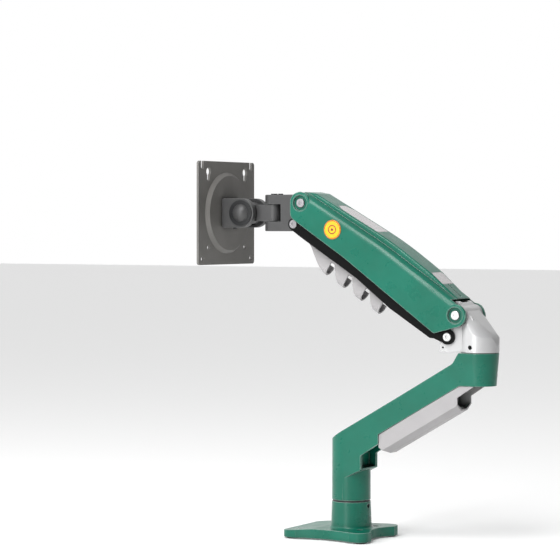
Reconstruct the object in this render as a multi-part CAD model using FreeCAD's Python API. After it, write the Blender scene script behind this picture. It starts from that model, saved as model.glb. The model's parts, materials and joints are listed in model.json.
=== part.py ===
import FreeCAD, Part
import math
import os

from FreeCAD import Vector

# Gas-spring desk monitor arm. Millimetres, +Z up, +X from the base column towards the elbow,
# origin on the column's axis at the desk. The arm is built folded over itself, as it is parked:
# base column, rising lower arm, elbow, upper arm back over the base, levelled head, VESA plate.

# ---- overall layout -------------------------------------------------------------------
LOWER_ARM_REACH = 151.2   # column axis to elbow axis
BASE_FACE_Z = 41.5        # parting face between base column and lower arm
ELBOW_FACE_Z = 201.5      # parting face between lower arm and elbow housing
ARM_LENGTH = 217.4        # main pivot to head pivot
ARM_RISE_DEG = 32.3       # upper arm above level, towards the head
PIVOT_SETBACK = 16.8      # main pivot, in front of the elbow axis
PIVOT_RISE = 38.8         # main pivot above the elbow parting face
LINK_BACK = 11.8          # link pins ahead of their pivots, across
LINK_DROP = 22.6          # link pins below their pivots
PAN_REACH = 46.4          # head pivot to pan axis
HEAD_DROP = 10.5          # head pivot down to the head's level axis
TILT_REACH = 32.4         # pan axis to tilt axis
PLATE_REACH = 31.0        # tilt axis to the monitor's side of the plate
RUN = 0.05                # radial running clearance of a pin in its bush
GAP = 0.35                # clearance between faces that pass each other

# ---- base -----------------------------------------------------------------------------
PAD_T = 1.5
PAD_R = 7.0
PLATE_BACK = 63.0         # plate edge from the column axis, under the arm's head side
PLATE_FRONT = 38.0        # plate edge from the column axis, under the elbow side
PLATE_HALF_W = 42.0
PLATE_T = 10.0            # thickness at the front edge
PLATE_T_BACK = 7.2        # thickness at the back edge
SIDE_DIP = 6.0            # how far the long edges curve in
FRONT_DIP = 9.0           # how far the front edge curves in
COLUMN_R = 20.6           # column and hub, at the parting face
COLUMN_R_FOOT = 21.8
COLUMN_FOOT_R = 3.0       # fillet between column and plate
BOSS_R = 16.0             # flat boss under the column
CLAMP_HOLE_R = 3.3        # two holes for a clamp bracket
CLAMP_HOLE_PITCH = 36.0
CLAMP_HOLE_X = 20.0
STUD_HOLE_R = 5.0         # M10 hole for a grommet stud
STUD_HOLE_DEEP = 16.0
POST_R = 9.0
POST_TOP = 88.0           # top of the base post
POST_DEEP = 22.0          # post seated in the column
BUSH_WALL = 2.0
RING_T = 2.0              # dark slip ring between column and hub

# ---- lower arm ------------------------------------------------------------------------
HUB_TOP_R = 19.9          # hub, at the height of the elbow face
SOCKET_R = 20.1           # elbow socket, at its face
SOCKET_DRAFT = 0.082      # how much the socket narrows per mm down
SOCKET_H = 34.0
WALL = 4.0                # casting wall
ARM_TOP_AT_HUB = 103.6    # top plane at the hub's outer edge
ARM_TOP_AT_SOCKET = 191.6 # top plane at the socket's outer edge
ELBOW_POST_R = 8.0
RELIEF_DEEP = 5.0         # recess under the socket for the retaining washer
SKIRT_DROP = 51.0         # side walls end this far below the top plane, at the hub

# ---- cable cover ----------------------------------------------------------------------
COVER_HALF_W = 17.0
COVER_SIDE_H = 16.0       # upright side, square to the arm
COVER_KEEL_H = 5.2        # sloping part below it
COVER_KEEL_HALF_W = 7.0
COVER_T = 1.6
COVER_START = 41.8        # along X
COVER_END_BACK = 17.8     # the keel stops this far short of the elbow axis
COVER_END_H = 14.1        # upright end of the keel
COVER_UNDER = 26.5        # top edge of the cover below the arm's top plane
COVER_RIB_PITCH = 5.0
COVER_RIB_T = 1.2
COVER_LIP_BACK = 15.5     # the cover's top edge ends this far short of the elbow axis
CLIP_TONGUE_T = 1.4
CLIP_TONGUE_HALF_W = 12.6
CLIP_TONGUE_X = (22.0, 74.0)  # tongues, from the cover's start
LOCK_R = 2.5              # base lock screw
LOCK_DROP = 6.5           # its axis below the parting face
SET_R = 2.3               # elbow set screw
SET_OFF = 1.6             # its axis off the elbow axis
SET_UP = 6.0              # and above the parting face
ELBOW_POST_IN = 20.0      # elbow post inside the housing

# ---- elbow ----------------------------------------------------------------------------
ELBOW_R = 20.2
ELBOW_TOP = 254.6
CAP_SLOPE_DEG = 45.0
CAP_FLAT_END = 17.0       # top flat ends this far in front of the elbow axis
CAP_ROUND = 24.0
CROWN_SLOPE_DEG = 52.0    # the crown runs down the cap at this slope
CROWN_HALF_W = 11.0
CROWN_DROP = 10.0
CROWN_ROUND = 16.0        # both corners of each shoulder
EAR_HALF_W = 15.5
LUG_FRONT = 38.7          # front of the lug, ahead of the elbow axis
PIVOT_EAR_R = 10.6
PIN_R = 4.8               # main and head pivot pins
SLEEVE = 1.2              # wall of their bushes
POCKET_HALF_W = 9.4       # slider pocket in the elbow
LINK_PIN_R = 4.6
LUG_HOLE_R = 1.1

# ---- upper arm shell ------------------------------------------------------------------
SHELL_HALF_W = 24.5
SHELL_WALL = 3.2
SHELL_ROOF = 3.0
NOSE_R = 12.1
HEEL_R = 12.2
SHELL_CROWN = 15.8        # body's top above the pivot line at mid length
SPINE_HALF_W = 16.2
SPINE_HEEL_HALF_W = 12.5  # the spine narrows to this at the heel
SPINE_CROWN = 22.2
SHELL_SHOULDER = 8.5
BOSS_RECESS_R = 8.3
BOSS_GROOVE = 2.2
BOSS_DISC_R = 11.6        # flat face round each pivot
HEEL_SLOT_W = 2.2
INSET_HALF_W = 12.2
INSET_DEEP = 1.2
INSET_JOINT = 0.3         # open joint round each inset
BADGE_R = 10.3
BADGE_T = 0.8

# ---- parallel link and cable clip -----------------------------------------------------
LINK_HALF_W = 18.2
LINK_WALL = 2.2
LINK_END_R = 7.9
LINK_HEAD_R = 6.4
CLIP_HALF_W = 7.6
CLIP_WALL = 1.8
CLIP_CENTRE = 21.8        # middle of the fingers' rounding, below the link's pin line
CLIP_START = 20.0         # comb's head end, along the link from its head pin
CLIP_FIRST = 56.0         # elbow side of the first finger
CLIP_PITCH = 25.0
CLIP_COUNT = 4
CLIP_BAR = 12.8           # underside of the bar that joins the fingers
CLIP_SLIT = (14.8, 20.4)  # slit on the far side that a cable is pushed through
FLOOR_HEAD = 7.0          # link's floor below its pin line, at the head
FLOOR_ELBOW = 12.0        # and at the elbow
FLOOR_STEP = (0.44, 0.67) # the floor steps down over this share of the length

# ---- gas spring -----------------------------------------------------------------------
ANCHOR_BACK = 7.5         # slider pin ahead of the main pivot
ANCHOR_DROP = 12.0        # slider pin below the main pivot
SPRING_HEAD = 178.0       # cylinder's eye, along the arm from the main pivot
SPRING_HEAD_W = -2.0
TUBE_R = 8.5
TUBE_LENGTH = 104.0
ROD_R = 4.0
EYE_R = 6.0
EYE_HALF_W = 5.0
ANCHOR_PIN_R = 3.0
SLIDER_HALF_W = 9.0
TENSION_R = 2.5
ANCHOR_PLAY = 1.2         # free play at the rod's eye, which closes the linkage
EYE_ROOM = 2.0            # clear space round the rod's eye in the slider's fork

# ---- head -----------------------------------------------------------------------------
FORK_H = 39.6
NOTCH_H = 18.9
FORK_END_R = 9.9
NOTCH_ROOM = 5.2          # behind the knuckle, to the end of the fork's notch
LINK_BOSS_R = 6.4
HEAD_HUB_R = 9.0
KNUCKLE_R = 8.6
KNUCKLE_H = 17.7
PAN_PIN_R = 4.0
BARREL_R = 12.0
BARREL_HALF_W = 10.4
HOUSING_R = 16.0
HOUSING_HALF_W = 17.5
TILT_BOLT_R = 5.0
DOME_R = 9.6
DOME_RISE = 5.4
WASHER_R = 14.0
SPINDLE_R = 7.0

# ---- VESA plate -----------------------------------------------------------------------
PLATE_W = 115.0
PLATE_TALL = 113.0
PLATE_CORNER = 3.5
SHEET_T = 2.5
EMBOSS_H = 4.0
EMBOSS_FOOT_R = 44.5
EMBOSS_TOP_R = 41.0
VESA_HOLE_R = 2.5
VESA_SMALL = 75.0
VESA_LARGE = 100.0
SLOT_W = 5.0
KEY_R = 4.4

os.makedirs("parts", exist_ok=True)
Y_AXIS = Vector(0, 1, 0)
Z_AXIS = Vector(0, 0, 1)
X_AXIS = Vector(1, 0, 0)

# ---- places worked out from the layout ---------------------------------------------------
RISE = math.radians(ARM_RISE_DEG)
PIVOT = (LOWER_ARM_REACH - PIVOT_SETBACK, ELBOW_FACE_Z + PIVOT_RISE)
HEAD = (PIVOT[0] - ARM_LENGTH * math.cos(RISE), PIVOT[1] + ARM_LENGTH * math.sin(RISE))
LINK_PIVOT = (PIVOT[0] - LINK_BACK, PIVOT[1] - LINK_DROP)
LINK_HEAD = (HEAD[0] - LINK_BACK, HEAD[1] - LINK_DROP)
PAN_X = HEAD[0] - PAN_REACH
HEAD_Z = HEAD[1] - HEAD_DROP
TILT_X = PAN_X - TILT_REACH
PLATE_X = TILT_X - PLATE_REACH
ANCHOR = (PIVOT[0] - ANCHOR_BACK, PIVOT[1] - ANCHOR_DROP)
TOP_SLOPE = (ARM_TOP_AT_SOCKET - ARM_TOP_AT_HUB) / (LOWER_ARM_REACH - SOCKET_R + COLUMN_R)
SOCKET_Z = ELBOW_FACE_Z - SOCKET_H


def arm(u, w):
    """Point u along the upper arm from its main pivot and w above its pivot line."""
    x = PIVOT[0] - u * math.cos(RISE) + w * math.sin(RISE)
    z = PIVOT[1] + u * math.sin(RISE) + w * math.cos(RISE)
    return (x, z)


def link(a, p):
    """Point a along the link from its head pin and p below its pin line."""
    x = LINK_HEAD[0] + a * math.cos(RISE) - p * math.sin(RISE)
    z = LINK_HEAD[1] - a * math.sin(RISE) - p * math.cos(RISE)
    return (x, z)


def laid_on_arm(local):
    """Solid drawn with -X along the upper arm from the main pivot and +Z above its pivot line."""
    local.rotate(Vector(0, 0, 0), Vector(0, 1, 0), ARM_RISE_DEG)
    local.translate(Vector(PIVOT[0], 0, PIVOT[1]))
    return local


def laid_on_link(local):
    """Solid drawn with +X along the link from its head pin and -Z below its pin line."""
    local.rotate(Vector(0, 0, 0), Vector(0, 1, 0), ARM_RISE_DEG)
    local.translate(Vector(LINK_HEAD[0], 0, LINK_HEAD[1]))
    return local


def arm_top(x, below=0.0):
    """Height of the lower arm's top plane at x."""
    return ARM_TOP_AT_HUB + TOP_SLOPE * (x + COLUMN_R) - below


# ---- shape helpers --------------------------------------------------------------------
def rounded(points, place):
    """Closed wire through points (a, b) or (a, b, radius), rounded at each radius."""
    corners = [(Vector(p[0], p[1], 0), p[2] if len(p) > 2 else 0.0) for p in points]
    count = len(corners)
    ends = []
    for i, (v, r) in enumerate(corners):
        before = (corners[i - 1][0] - v).normalize()
        after = (corners[(i + 1) % count][0] - v).normalize()
        if r <= 0:
            ends.append((v, None, v))
            continue
        half = before.getAngle(after) / 2
        reach = r / math.tan(half)
        middle = v + (before + after).normalize() * (r / math.sin(half) - r)
        ends.append((v + before * reach, middle, v + after * reach))
    edges = []
    for i, (start, middle, end) in enumerate(ends):
        if middle is not None:
            edges.append(Part.Arc(place(start), place(middle), place(end)).toShape())
        following = ends[(i + 1) % count][0]
        if end.distanceToPoint(following) > 1e-6:
            edges.append(Part.LineSegment(place(end), place(following)).toShape())
    return Part.Wire(edges)


def prism_y(points, y0, y1):
    """Outline in X and Z, thick from y0 to y1."""
    wire = rounded(points, lambda v: Vector(v.x, y0, v.y))
    return Part.Face(wire).extrude(Vector(0, y1 - y0, 0))


def prism_z(points, z0, z1):
    """Outline in X and Y, thick from z0 to z1."""
    wire = rounded(points, lambda v: Vector(v.x, v.y, z0))
    return Part.Face(wire).extrude(Vector(0, 0, z1 - z0))


def prism_x(points, x0, x1):
    """Outline in Y and Z, thick from x0 to x1."""
    wire = rounded(points, lambda v: Vector(x0, v.x, v.y))
    return Part.Face(wire).extrude(Vector(x1 - x0, 0, 0))


def box(x0, x1, y0, y1, z0, z1):
    return Part.makeBox(x1 - x0, y1 - y0, z1 - z0, Vector(x0, y0, z0))


def rod_y(at, r, y0, y1):
    return Part.makeCylinder(r, y1 - y0, Vector(at[0], y0, at[1]), Y_AXIS)


def rod_z(x, y, r, z0, z1):
    return Part.makeCylinder(r, z1 - z0, Vector(x, y, z0), Z_AXIS)


def rod_x(y, z, r, x0, x1):
    return Part.makeCylinder(r, x1 - x0, Vector(x0, y, z), X_AXIS)


def edges_where(shape, test):
    """Edges whose middle point passes the test."""
    found = []
    for edge in shape.Edges:
        middle = edge.valueAt((edge.FirstParameter + edge.LastParameter) / 2)
        if test(middle, edge):
            found.append(edge)
    return found


def hex_socket_z(x, y, across, z0, z1):
    """Hexagonal prism for an Allen key, upright."""
    r = across / math.sqrt(3)
    turns = [math.radians(60 * i) for i in range(6)]
    return prism_z([(x + r * math.cos(t), y + r * math.sin(t)) for t in turns], z0, z1)


def meet(p, d, q, e):
    """Where the line through p along d crosses the line through q along e."""
    cross = d[0] * e[1] - d[1] * e[0]
    t = ((q[0] - p[0]) * e[1] - (q[1] - p[1]) * e[0]) / cross
    return (p[0] + t * d[0], p[1] + t * d[1])


# ---- base -----------------------------------------------------------------------------
def column_blank(plate_top):
    """Drafted column with a hollow fillet where it meets the plate."""
    height = BASE_FACE_Z - RING_T
    outer = [(0, PAD_T), (COLUMN_R_FOOT + COLUMN_FOOT_R + 2, PAD_T),
             (COLUMN_R_FOOT + COLUMN_FOOT_R + 2, plate_top - 0.1),
             (COLUMN_R_FOOT, plate_top - 0.1, COLUMN_FOOT_R),
             (COLUMN_R, height), (0, height)]
    wire = rounded(outer, lambda v: Vector(v.x, 0, v.y))
    return Part.Face(wire).revolve(Vector(0, 0, 0), Z_AXIS, 360)


def base_casting():
    """Foot plate with curved-in edges, its column, and the seats for post, stud and clamp."""
    back, front, half = -PLATE_BACK, PLATE_FRONT, PLATE_HALF_W
    plan = [(back, -half, 10), (front, -half, 11), (front, half, 11), (back, half, 10)]
    top = PAD_T + PLATE_T
    plate = prism_z(plan, PAD_T, top)
    level_from = -COLUMN_R_FOOT - COLUMN_FOOT_R - 3
    slope = prism_y([(back - 1, top + 1), (back - 1, PAD_T + PLATE_T_BACK), (level_from, top),
                     (level_from, top + 1)], -half - 1, half + 1)
    plate = plate.cut(slope)
    span = (PLATE_BACK + PLATE_FRONT) * 0.32
    side_r = (span * span + SIDE_DIP * SIDE_DIP) / (2 * SIDE_DIP)
    middle = (PLATE_FRONT - PLATE_BACK) / 2
    for side in (-1, 1):
        centre = side * (half - SIDE_DIP + side_r)
        plate = plate.cut(rod_z(middle, centre, side_r, PAD_T - 1, top + 1))
    reach = half * 0.62
    front_r = (reach * reach + FRONT_DIP * FRONT_DIP) / (2 * FRONT_DIP)
    plate = plate.cut(rod_z(front - FRONT_DIP + front_r, 0, front_r, PAD_T - 1, top + 1))
    body = plate.fuse(column_blank(top)).removeSplitter()
    body = body.fuse(rod_z(0, 0, BOSS_R, 0, PAD_T + 1)).removeSplitter()
    body = body.cut(rod_z(0, 0, STUD_HOLE_R, -1, STUD_HOLE_DEEP))
    body = body.cut(rod_z(0, 0, POST_R, BASE_FACE_Z - POST_DEEP, BASE_FACE_Z + 1))
    for side in (-1, 1):
        hole = rod_z(CLAMP_HOLE_X, side * CLAMP_HOLE_PITCH / 2, CLAMP_HOLE_R, -1, top + 1)
        body = body.cut(hole)
    lock = rod_x(0, BASE_FACE_Z - LOCK_DROP, LOCK_R, POST_R - 1, COLUMN_R + 3)
    return body.cut(lock)


def pad_places():
    back, front, half = PLATE_BACK - 10, PLATE_FRONT - 10, PLATE_HALF_W - 10
    return [(-back, -half), (-back, half), (front, -half), (front, half)]


def base_pads():
    return [rod_z(x, y, PAD_R, 0, PAD_T) for x, y in pad_places()]


def base_post():
    """Steel post that the lower arm turns on, with a groove for the lock screw."""
    bottom = BASE_FACE_Z - POST_DEEP
    post = rod_z(0, 0, POST_R, bottom, POST_TOP)
    middle = BASE_FACE_Z - LOCK_DROP
    groove = rod_z(0, 0, POST_R + 1, middle - LOCK_R - 0.5, middle + LOCK_R + 0.5)
    groove = groove.cut(rod_z(0, 0, POST_R - 0.8, middle - LOCK_R - 1, middle + LOCK_R + 1))
    return post.cut(groove)


def base_lock_screw():
    z = BASE_FACE_Z - LOCK_DROP
    screw = rod_x(0, z, LOCK_R, POST_R - 0.8, COLUMN_R - 0.6)
    return screw.cut(rod_x(0, z, 1.3, COLUMN_R - 3.5, COLUMN_R))


def slip_ring(x, r_out, r_in, z0, z1):
    return rod_z(x, 0, r_out, z0, z1).cut(rod_z(x, 0, r_in, z0 - 1, z1 + 1))


# ---- lower arm ------------------------------------------------------------------------
def stadium(r_hub, r_socket, z):
    """Outline round the hub and socket circles with their common tangents."""
    sine = (r_hub - r_socket) / LOWER_ARM_REACH
    cosine = math.sqrt(1 - sine * sine)
    edges = []
    hub = [Vector(r_hub * sine, s * r_hub * cosine, z) for s in (1, -1)]
    end = [Vector(LOWER_ARM_REACH + r_socket * sine, s * r_socket * cosine, z) for s in (1, -1)]
    edges.append(Part.Arc(hub[0], Vector(-r_hub, 0, z), hub[1]).toShape())
    edges.append(Part.LineSegment(hub[1], end[1]).toShape())
    edges.append(Part.Arc(end[1], Vector(LOWER_ARM_REACH + r_socket, 0, z), end[0]).toShape())
    edges.append(Part.LineSegment(end[0], hub[0]).toShape())
    return Part.Wire(edges)


def drafted_body(inset):
    """Hub, arm and socket as one drafted body, its skin moved in by inset."""
    socket_low = SOCKET_R - SOCKET_DRAFT * (ELBOW_FACE_Z - BASE_FACE_Z)
    low = stadium(COLUMN_R - inset, socket_low - inset * 0.5, BASE_FACE_Z)
    high = stadium(HUB_TOP_R - inset, SOCKET_R - inset, ELBOW_FACE_Z)
    return Part.makeLoft([low, high], True, True)


def arm_side_outline():
    """Side view of the lower arm: hub, stepped open end, rising wall and socket."""
    far = LOWER_ARM_REACH + SOCKET_R + 1
    near = -COLUMN_R - 1
    lip = ELBOW_FACE_Z
    crest = LOWER_ARM_REACH - SOCKET_R + 3.5
    return [(near, BASE_FACE_Z), (COLUMN_R + 0.6, BASE_FACE_Z), (COLUMN_R + 0.6, arm_top(21, 38)),
            (COVER_START, arm_top(COVER_START, 36.4)), (COVER_START, arm_top(COVER_START, COVER_UNDER)),
            (LOWER_ARM_REACH - COVER_LIP_BACK, SOCKET_Z), (far, SOCKET_Z), (far, lip),
            (crest + 1.5, lip), (crest - 5.5, arm_top(crest - 5.5), 9), (near, arm_top(near))]


def lower_arm():
    """Drafted U-section casting, open below, with bores for both posts."""
    skin = drafted_body(0).common(prism_y(arm_side_outline(), -30, 30))
    open_from = 6.0
    socket_wall = LOWER_ARM_REACH - SOCKET_R + 2.5
    deep = arm_top(open_from, WALL / math.cos(math.atan(TOP_SLOPE)) + 0.5)
    low = arm_top(0, SKIRT_DROP) + 0.5 * COLUMN_R + 1.2
    bore_wall = POST_R + BUSH_WALL + 1.8
    hollow_side = [(bore_wall, low), (bore_wall, POST_TOP + 3), (open_from, POST_TOP + 3),
                   (open_from, deep),
                   (socket_wall, deep + TOP_SLOPE * (socket_wall - open_from)),
                   (socket_wall, SOCKET_Z - 8), (COLUMN_R + 12, BASE_FACE_Z + 8),
                   (COLUMN_R + 12, low)]
    hollow = drafted_body(WALL).common(prism_y(hollow_side, -30, 30))
    body = skin.cut(hollow)
    hub_bore = rod_z(0, 0, POST_R + BUSH_WALL, BASE_FACE_Z - 1, POST_TOP + 1.5)
    body = body.cut(hub_bore)
    body = body.cut(rod_z(LOWER_ARM_REACH, 0, ELBOW_POST_R + BUSH_WALL, SOCKET_Z - 1, ELBOW_FACE_Z + 1))
    relief = rod_z(LOWER_ARM_REACH, 0, SOCKET_R - 6.5, SOCKET_Z - 1, SOCKET_Z + RELIEF_DEEP)
    hub_foot = arm_top(0, SKIRT_DROP)
    skirt = prism_y([(0.5, BASE_FACE_Z - 1), (0.5, hub_foot), (COLUMN_R + 1, hub_foot + 0.5 * COLUMN_R),
                     (COLUMN_R + 3, BASE_FACE_Z - 1)], -30, 30)
    skirt = skirt.cut(rod_z(0, 0, COLUMN_R - 0.1, BASE_FACE_Z - 2, POST_TOP))
    return body.cut([relief, skirt])


def bush(x, r_in, z0, z1):
    """Plain flanged bush pressed into a casting."""
    sleeve = rod_z(x, 0, r_in + BUSH_WALL, z0, z1)
    return sleeve.cut(rod_z(x, 0, r_in + RUN, z0 - 1, z1 + 1))


def cover_section(inset):
    """Half section of the cover, across and down from its top edge."""
    side = COVER_HALF_W - inset
    keel = COVER_KEEL_HALF_W - inset * 0.7
    deep = COVER_SIDE_H + COVER_KEEL_H - inset
    fold = COVER_SIDE_H - inset * 0.6
    return [(-side, 3 * inset), (-side, -fold), (-keel, -deep), (keel, -deep), (side, -fold),
            (side, 3 * inset)]


def cable_cover():
    """Trough under the lower arm that holds the cables, open at both ends."""
    arm_step = LOWER_ARM_REACH - COVER_LIP_BACK
    angle = math.atan2(SOCKET_Z - arm_top(COVER_START, COVER_UNDER), arm_step - COVER_START)
    s, c = math.sin(angle), math.cos(angle)
    deep = COVER_SIDE_H + COVER_KEEL_H
    start = Vector(COVER_START + 0.2, 0, arm_top(COVER_START, COVER_UNDER) - 0.4)
    end_x = LOWER_ARM_REACH - COVER_END_BACK
    keel_end = (end_x - start.x - deep * s) / c
    low_end = start.z + keel_end * s - deep * c
    whole = keel_end + 2 * deep
    inside = prism_x(cover_section(COVER_T), -deep - 1, whole + 1)
    trough = prism_x(cover_section(0), -deep, whole).cut(inside)
    for i in range(3):
        a = keel_end - 3.0 - COVER_RIB_PITCH * i
        rib = box(a, a + COVER_RIB_T, -COVER_KEEL_HALF_W + 1, COVER_KEEL_HALF_W - 1, 0.5 - deep, 5.0 - deep)
        trough = trough.fuse(rib)
    trough = trough.removeSplitter()
    trough.rotate(Vector(0, 0, 0), Y_AXIS, -math.degrees(angle))
    trough.translate(start)
    heel = start.z - deep * c - 0.9
    outline = [(start.x, start.z), (start.x, heel + 6.0), (start.x + 8.4, heel), (start.x + 8.4, heel - 2),
               (end_x, low_end - 3), (end_x, low_end + COVER_END_H), (LOWER_ARM_REACH, SOCKET_Z - 0.7),
               (LOWER_ARM_REACH, SOCKET_Z - 0.4), (arm_step, SOCKET_Z - 0.4)]
    return trough.common(prism_y(outline, -20, 20))


def cover_clips():
    """Two sprung tongues that hold the cover up inside the arm's walls."""
    clips = []
    half = 5.0
    climb = TOP_SLOPE * 2 * half
    wide = CLIP_TONGUE_HALF_W
    for along in CLIP_TONGUE_X:
        x = COVER_START + along
        z = arm_top(x, COVER_UNDER)
        low = z - COVER_SIDE_H + 2
        plan = [(x - half, low), (x + half, low + climb), (x + half, z + 5), (x - half, z + 5 - climb)]
        inside = [(x - half - 1, low + CLIP_TONGUE_T - climb / 10),
                  (x + half + 1, low + CLIP_TONGUE_T + climb * 1.1),
                  (x + half + 1, z + 8), (x - half - 1, z + 8)]
        hollow = prism_y(inside, CLIP_TONGUE_T - wide, wide - CLIP_TONGUE_T)
        clips.append(prism_y(plan, -wide, wide).cut(hollow))
    return clips


# ---- elbow ----------------------------------------------------------------------------
def cap_outline():
    """Side view of the elbow's sloping, rounded cap."""
    back = LOWER_ARM_REACH + ELBOW_R
    slope = math.tan(math.radians(CAP_SLOPE_DEG))
    flat_end = LOWER_ARM_REACH - CAP_FLAT_END
    corner = ELBOW_TOP - slope * (back - flat_end)
    front = PIVOT[0] - PIVOT_EAR_R
    return [(front, ELBOW_FACE_Z + 0.6), (back, ELBOW_FACE_Z + 0.6), (back, corner, CAP_ROUND),
            (flat_end, ELBOW_TOP, 6), (front, ELBOW_TOP, 4)]


def cap_crown():
    """Long prism down the cap's slope whose rounded shoulders take the cap's edges away."""
    tilt = math.radians(CROWN_SLOPE_DEG)
    slope = math.tan(math.radians(CAP_SLOPE_DEG))
    centre_x = LOWER_ARM_REACH + ELBOW_R - CAP_ROUND
    corner = ELBOW_TOP - slope * (ELBOW_R + CAP_FLAT_END)
    centre_z = corner - CAP_ROUND * math.tan(math.radians(45 - CAP_SLOPE_DEG / 2))
    half = ELBOW_R + 1
    section = [(-half, -90), (-half, -CROWN_DROP, CROWN_ROUND), (-CROWN_HALF_W, 0, CROWN_ROUND),
               (CROWN_HALF_W, 0, CROWN_ROUND), (half, -CROWN_DROP, CROWN_ROUND), (half, -90)]
    crown = prism_x(section, -120, 120)
    crown.rotate(Vector(0, 0, 0), Y_AXIS, CROWN_SLOPE_DEG)
    top = Vector(centre_x + CAP_ROUND * math.sin(tilt), 0, centre_z + CAP_ROUND * math.cos(tilt))
    crown.translate(top)
    return crown


def elbow_housing():
    """Cast elbow: turned barrel with a sloping cap, pivot ears, link lug and slider pocket."""
    outline = cap_outline()
    base = ELBOW_FACE_Z + 0.6
    barrel = prism_y(outline, -30, 30).common(rod_z(LOWER_ARM_REACH, 0, ELBOW_R, base, ELBOW_TOP + 5))
    barrel = barrel.common(cap_crown())
    front = LOWER_ARM_REACH - LUG_FRONT
    ears = prism_y([(front, base, 2.2), (LOWER_ARM_REACH, base), (LOWER_ARM_REACH, ELBOW_TOP - 18),
                    (PIVOT[0] - 0.5, ELBOW_TOP, 4), (PIVOT[0] - PIVOT_EAR_R, ELBOW_TOP, 4),
                    (PIVOT[0] - PIVOT_EAR_R, PIVOT[1] - 4, 8), (front, LINK_PIVOT[1] + 5.5, 6)],
                   -EAR_HALF_W, EAR_HALF_W)
    hub = rod_y(PIVOT, PIVOT_EAR_R, -SHELL_HALF_W + SHELL_WALL + GAP, SHELL_HALF_W - SHELL_WALL - GAP)
    body = barrel.fuse([ears, hub]).removeSplitter()
    pocket = prism_y([(front + 4, base + 12), (LOWER_ARM_REACH - 16, base + 12),
                      (LOWER_ARM_REACH - 16, ELBOW_TOP - 9), (PIVOT[0] + 1, ELBOW_TOP + 3),
                      (front - 6, ELBOW_TOP + 3), (front - 6, base + 12)],
                     -POCKET_HALF_W, POCKET_HALF_W)
    body = body.cut(pocket)
    body = body.cut(rod_y(PIVOT, PIN_R + SLEEVE, -30, 30)).cut(rod_y(LINK_PIVOT, LINK_PIN_R, -30, 30))
    body = body.cut(rod_z(LOWER_ARM_REACH, 0, ELBOW_POST_R, base - 1, base + ELBOW_POST_IN))
    body = body.cut(rod_y((LOWER_ARM_REACH - SET_OFF, ELBOW_FACE_Z + SET_UP), SET_R, -30, 0))
    body = body.cut(rod_y((front + 4, base + 4.5), LUG_HOLE_R, -30, 30))
    return body.cut(rod_z(ANCHOR[0], 0, TENSION_R, base - 1, base + 20))


def elbow_post():
    bottom = SOCKET_Z + RELIEF_DEEP - GAP
    post = rod_z(LOWER_ARM_REACH, 0, ELBOW_POST_R, bottom, ELBOW_FACE_Z + ELBOW_POST_IN)
    return post.cut(rod_z(LOWER_ARM_REACH, 0, 2.5, bottom - 1, bottom + 14))


def elbow_retainer():
    """Washer and button screw that keep the elbow post in the socket."""
    low = SOCKET_Z + RELIEF_DEEP - GAP
    washer = rod_z(LOWER_ARM_REACH, 0, 12.2, low - 1.6, low)
    head = rod_z(LOWER_ARM_REACH, 0, 5.0, low - 4.2, low - 1.6)
    screw = washer.fuse([head, rod_z(LOWER_ARM_REACH, 0, 2.5, low - 2, low + 12)])
    return screw.cut(hex_socket_z(LOWER_ARM_REACH, 0, 3.0, low - 5, low - 2.2)).removeSplitter()


def elbow_set_screw():
    z = ELBOW_FACE_Z + SET_UP
    outer = -math.sqrt(ELBOW_R ** 2 - SET_OFF ** 2)
    x = LOWER_ARM_REACH - SET_OFF
    screw = rod_y((x, z), SET_R, outer + 1.2, -ELBOW_POST_R)
    turns = [math.radians(60 * i) for i in range(6)]
    socket = prism_y([(x + 1.45 * math.cos(t), z + 1.45 * math.sin(t)) for t in turns], outer, outer + 3.2)
    return screw.cut(socket)


def tension_screw():
    """Socket screw standing in the lug that sets the slider's height."""
    low = ELBOW_FACE_Z + 0.6
    screw = rod_z(ANCHOR[0], 0, TENSION_R, low + 0.4, ANCHOR[1] - EYE_R - EYE_ROOM)
    return screw.cut(hex_socket_z(ANCHOR[0], 0, 2.5, low - 1, low + 3.0))


def tension_slider():
    """Forked block that carries the gas spring's pin and climbs the tension screw."""
    x, z = ANCHOR
    block = box(x - 6, x + 6, -SLIDER_HALF_W, SLIDER_HALF_W, z - EYE_R - EYE_ROOM - 4.0, z + 6)
    fork = box(x - 7, x + 7, -EYE_HALF_W - GAP, EYE_HALF_W + GAP, z - EYE_R - EYE_ROOM, z + 7)
    block = block.cut([fork, rod_z(x, 0, TENSION_R, z - 20, z)])
    return block.cut(rod_y(ANCHOR, ANCHOR_PIN_R, -20, 20))


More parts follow.
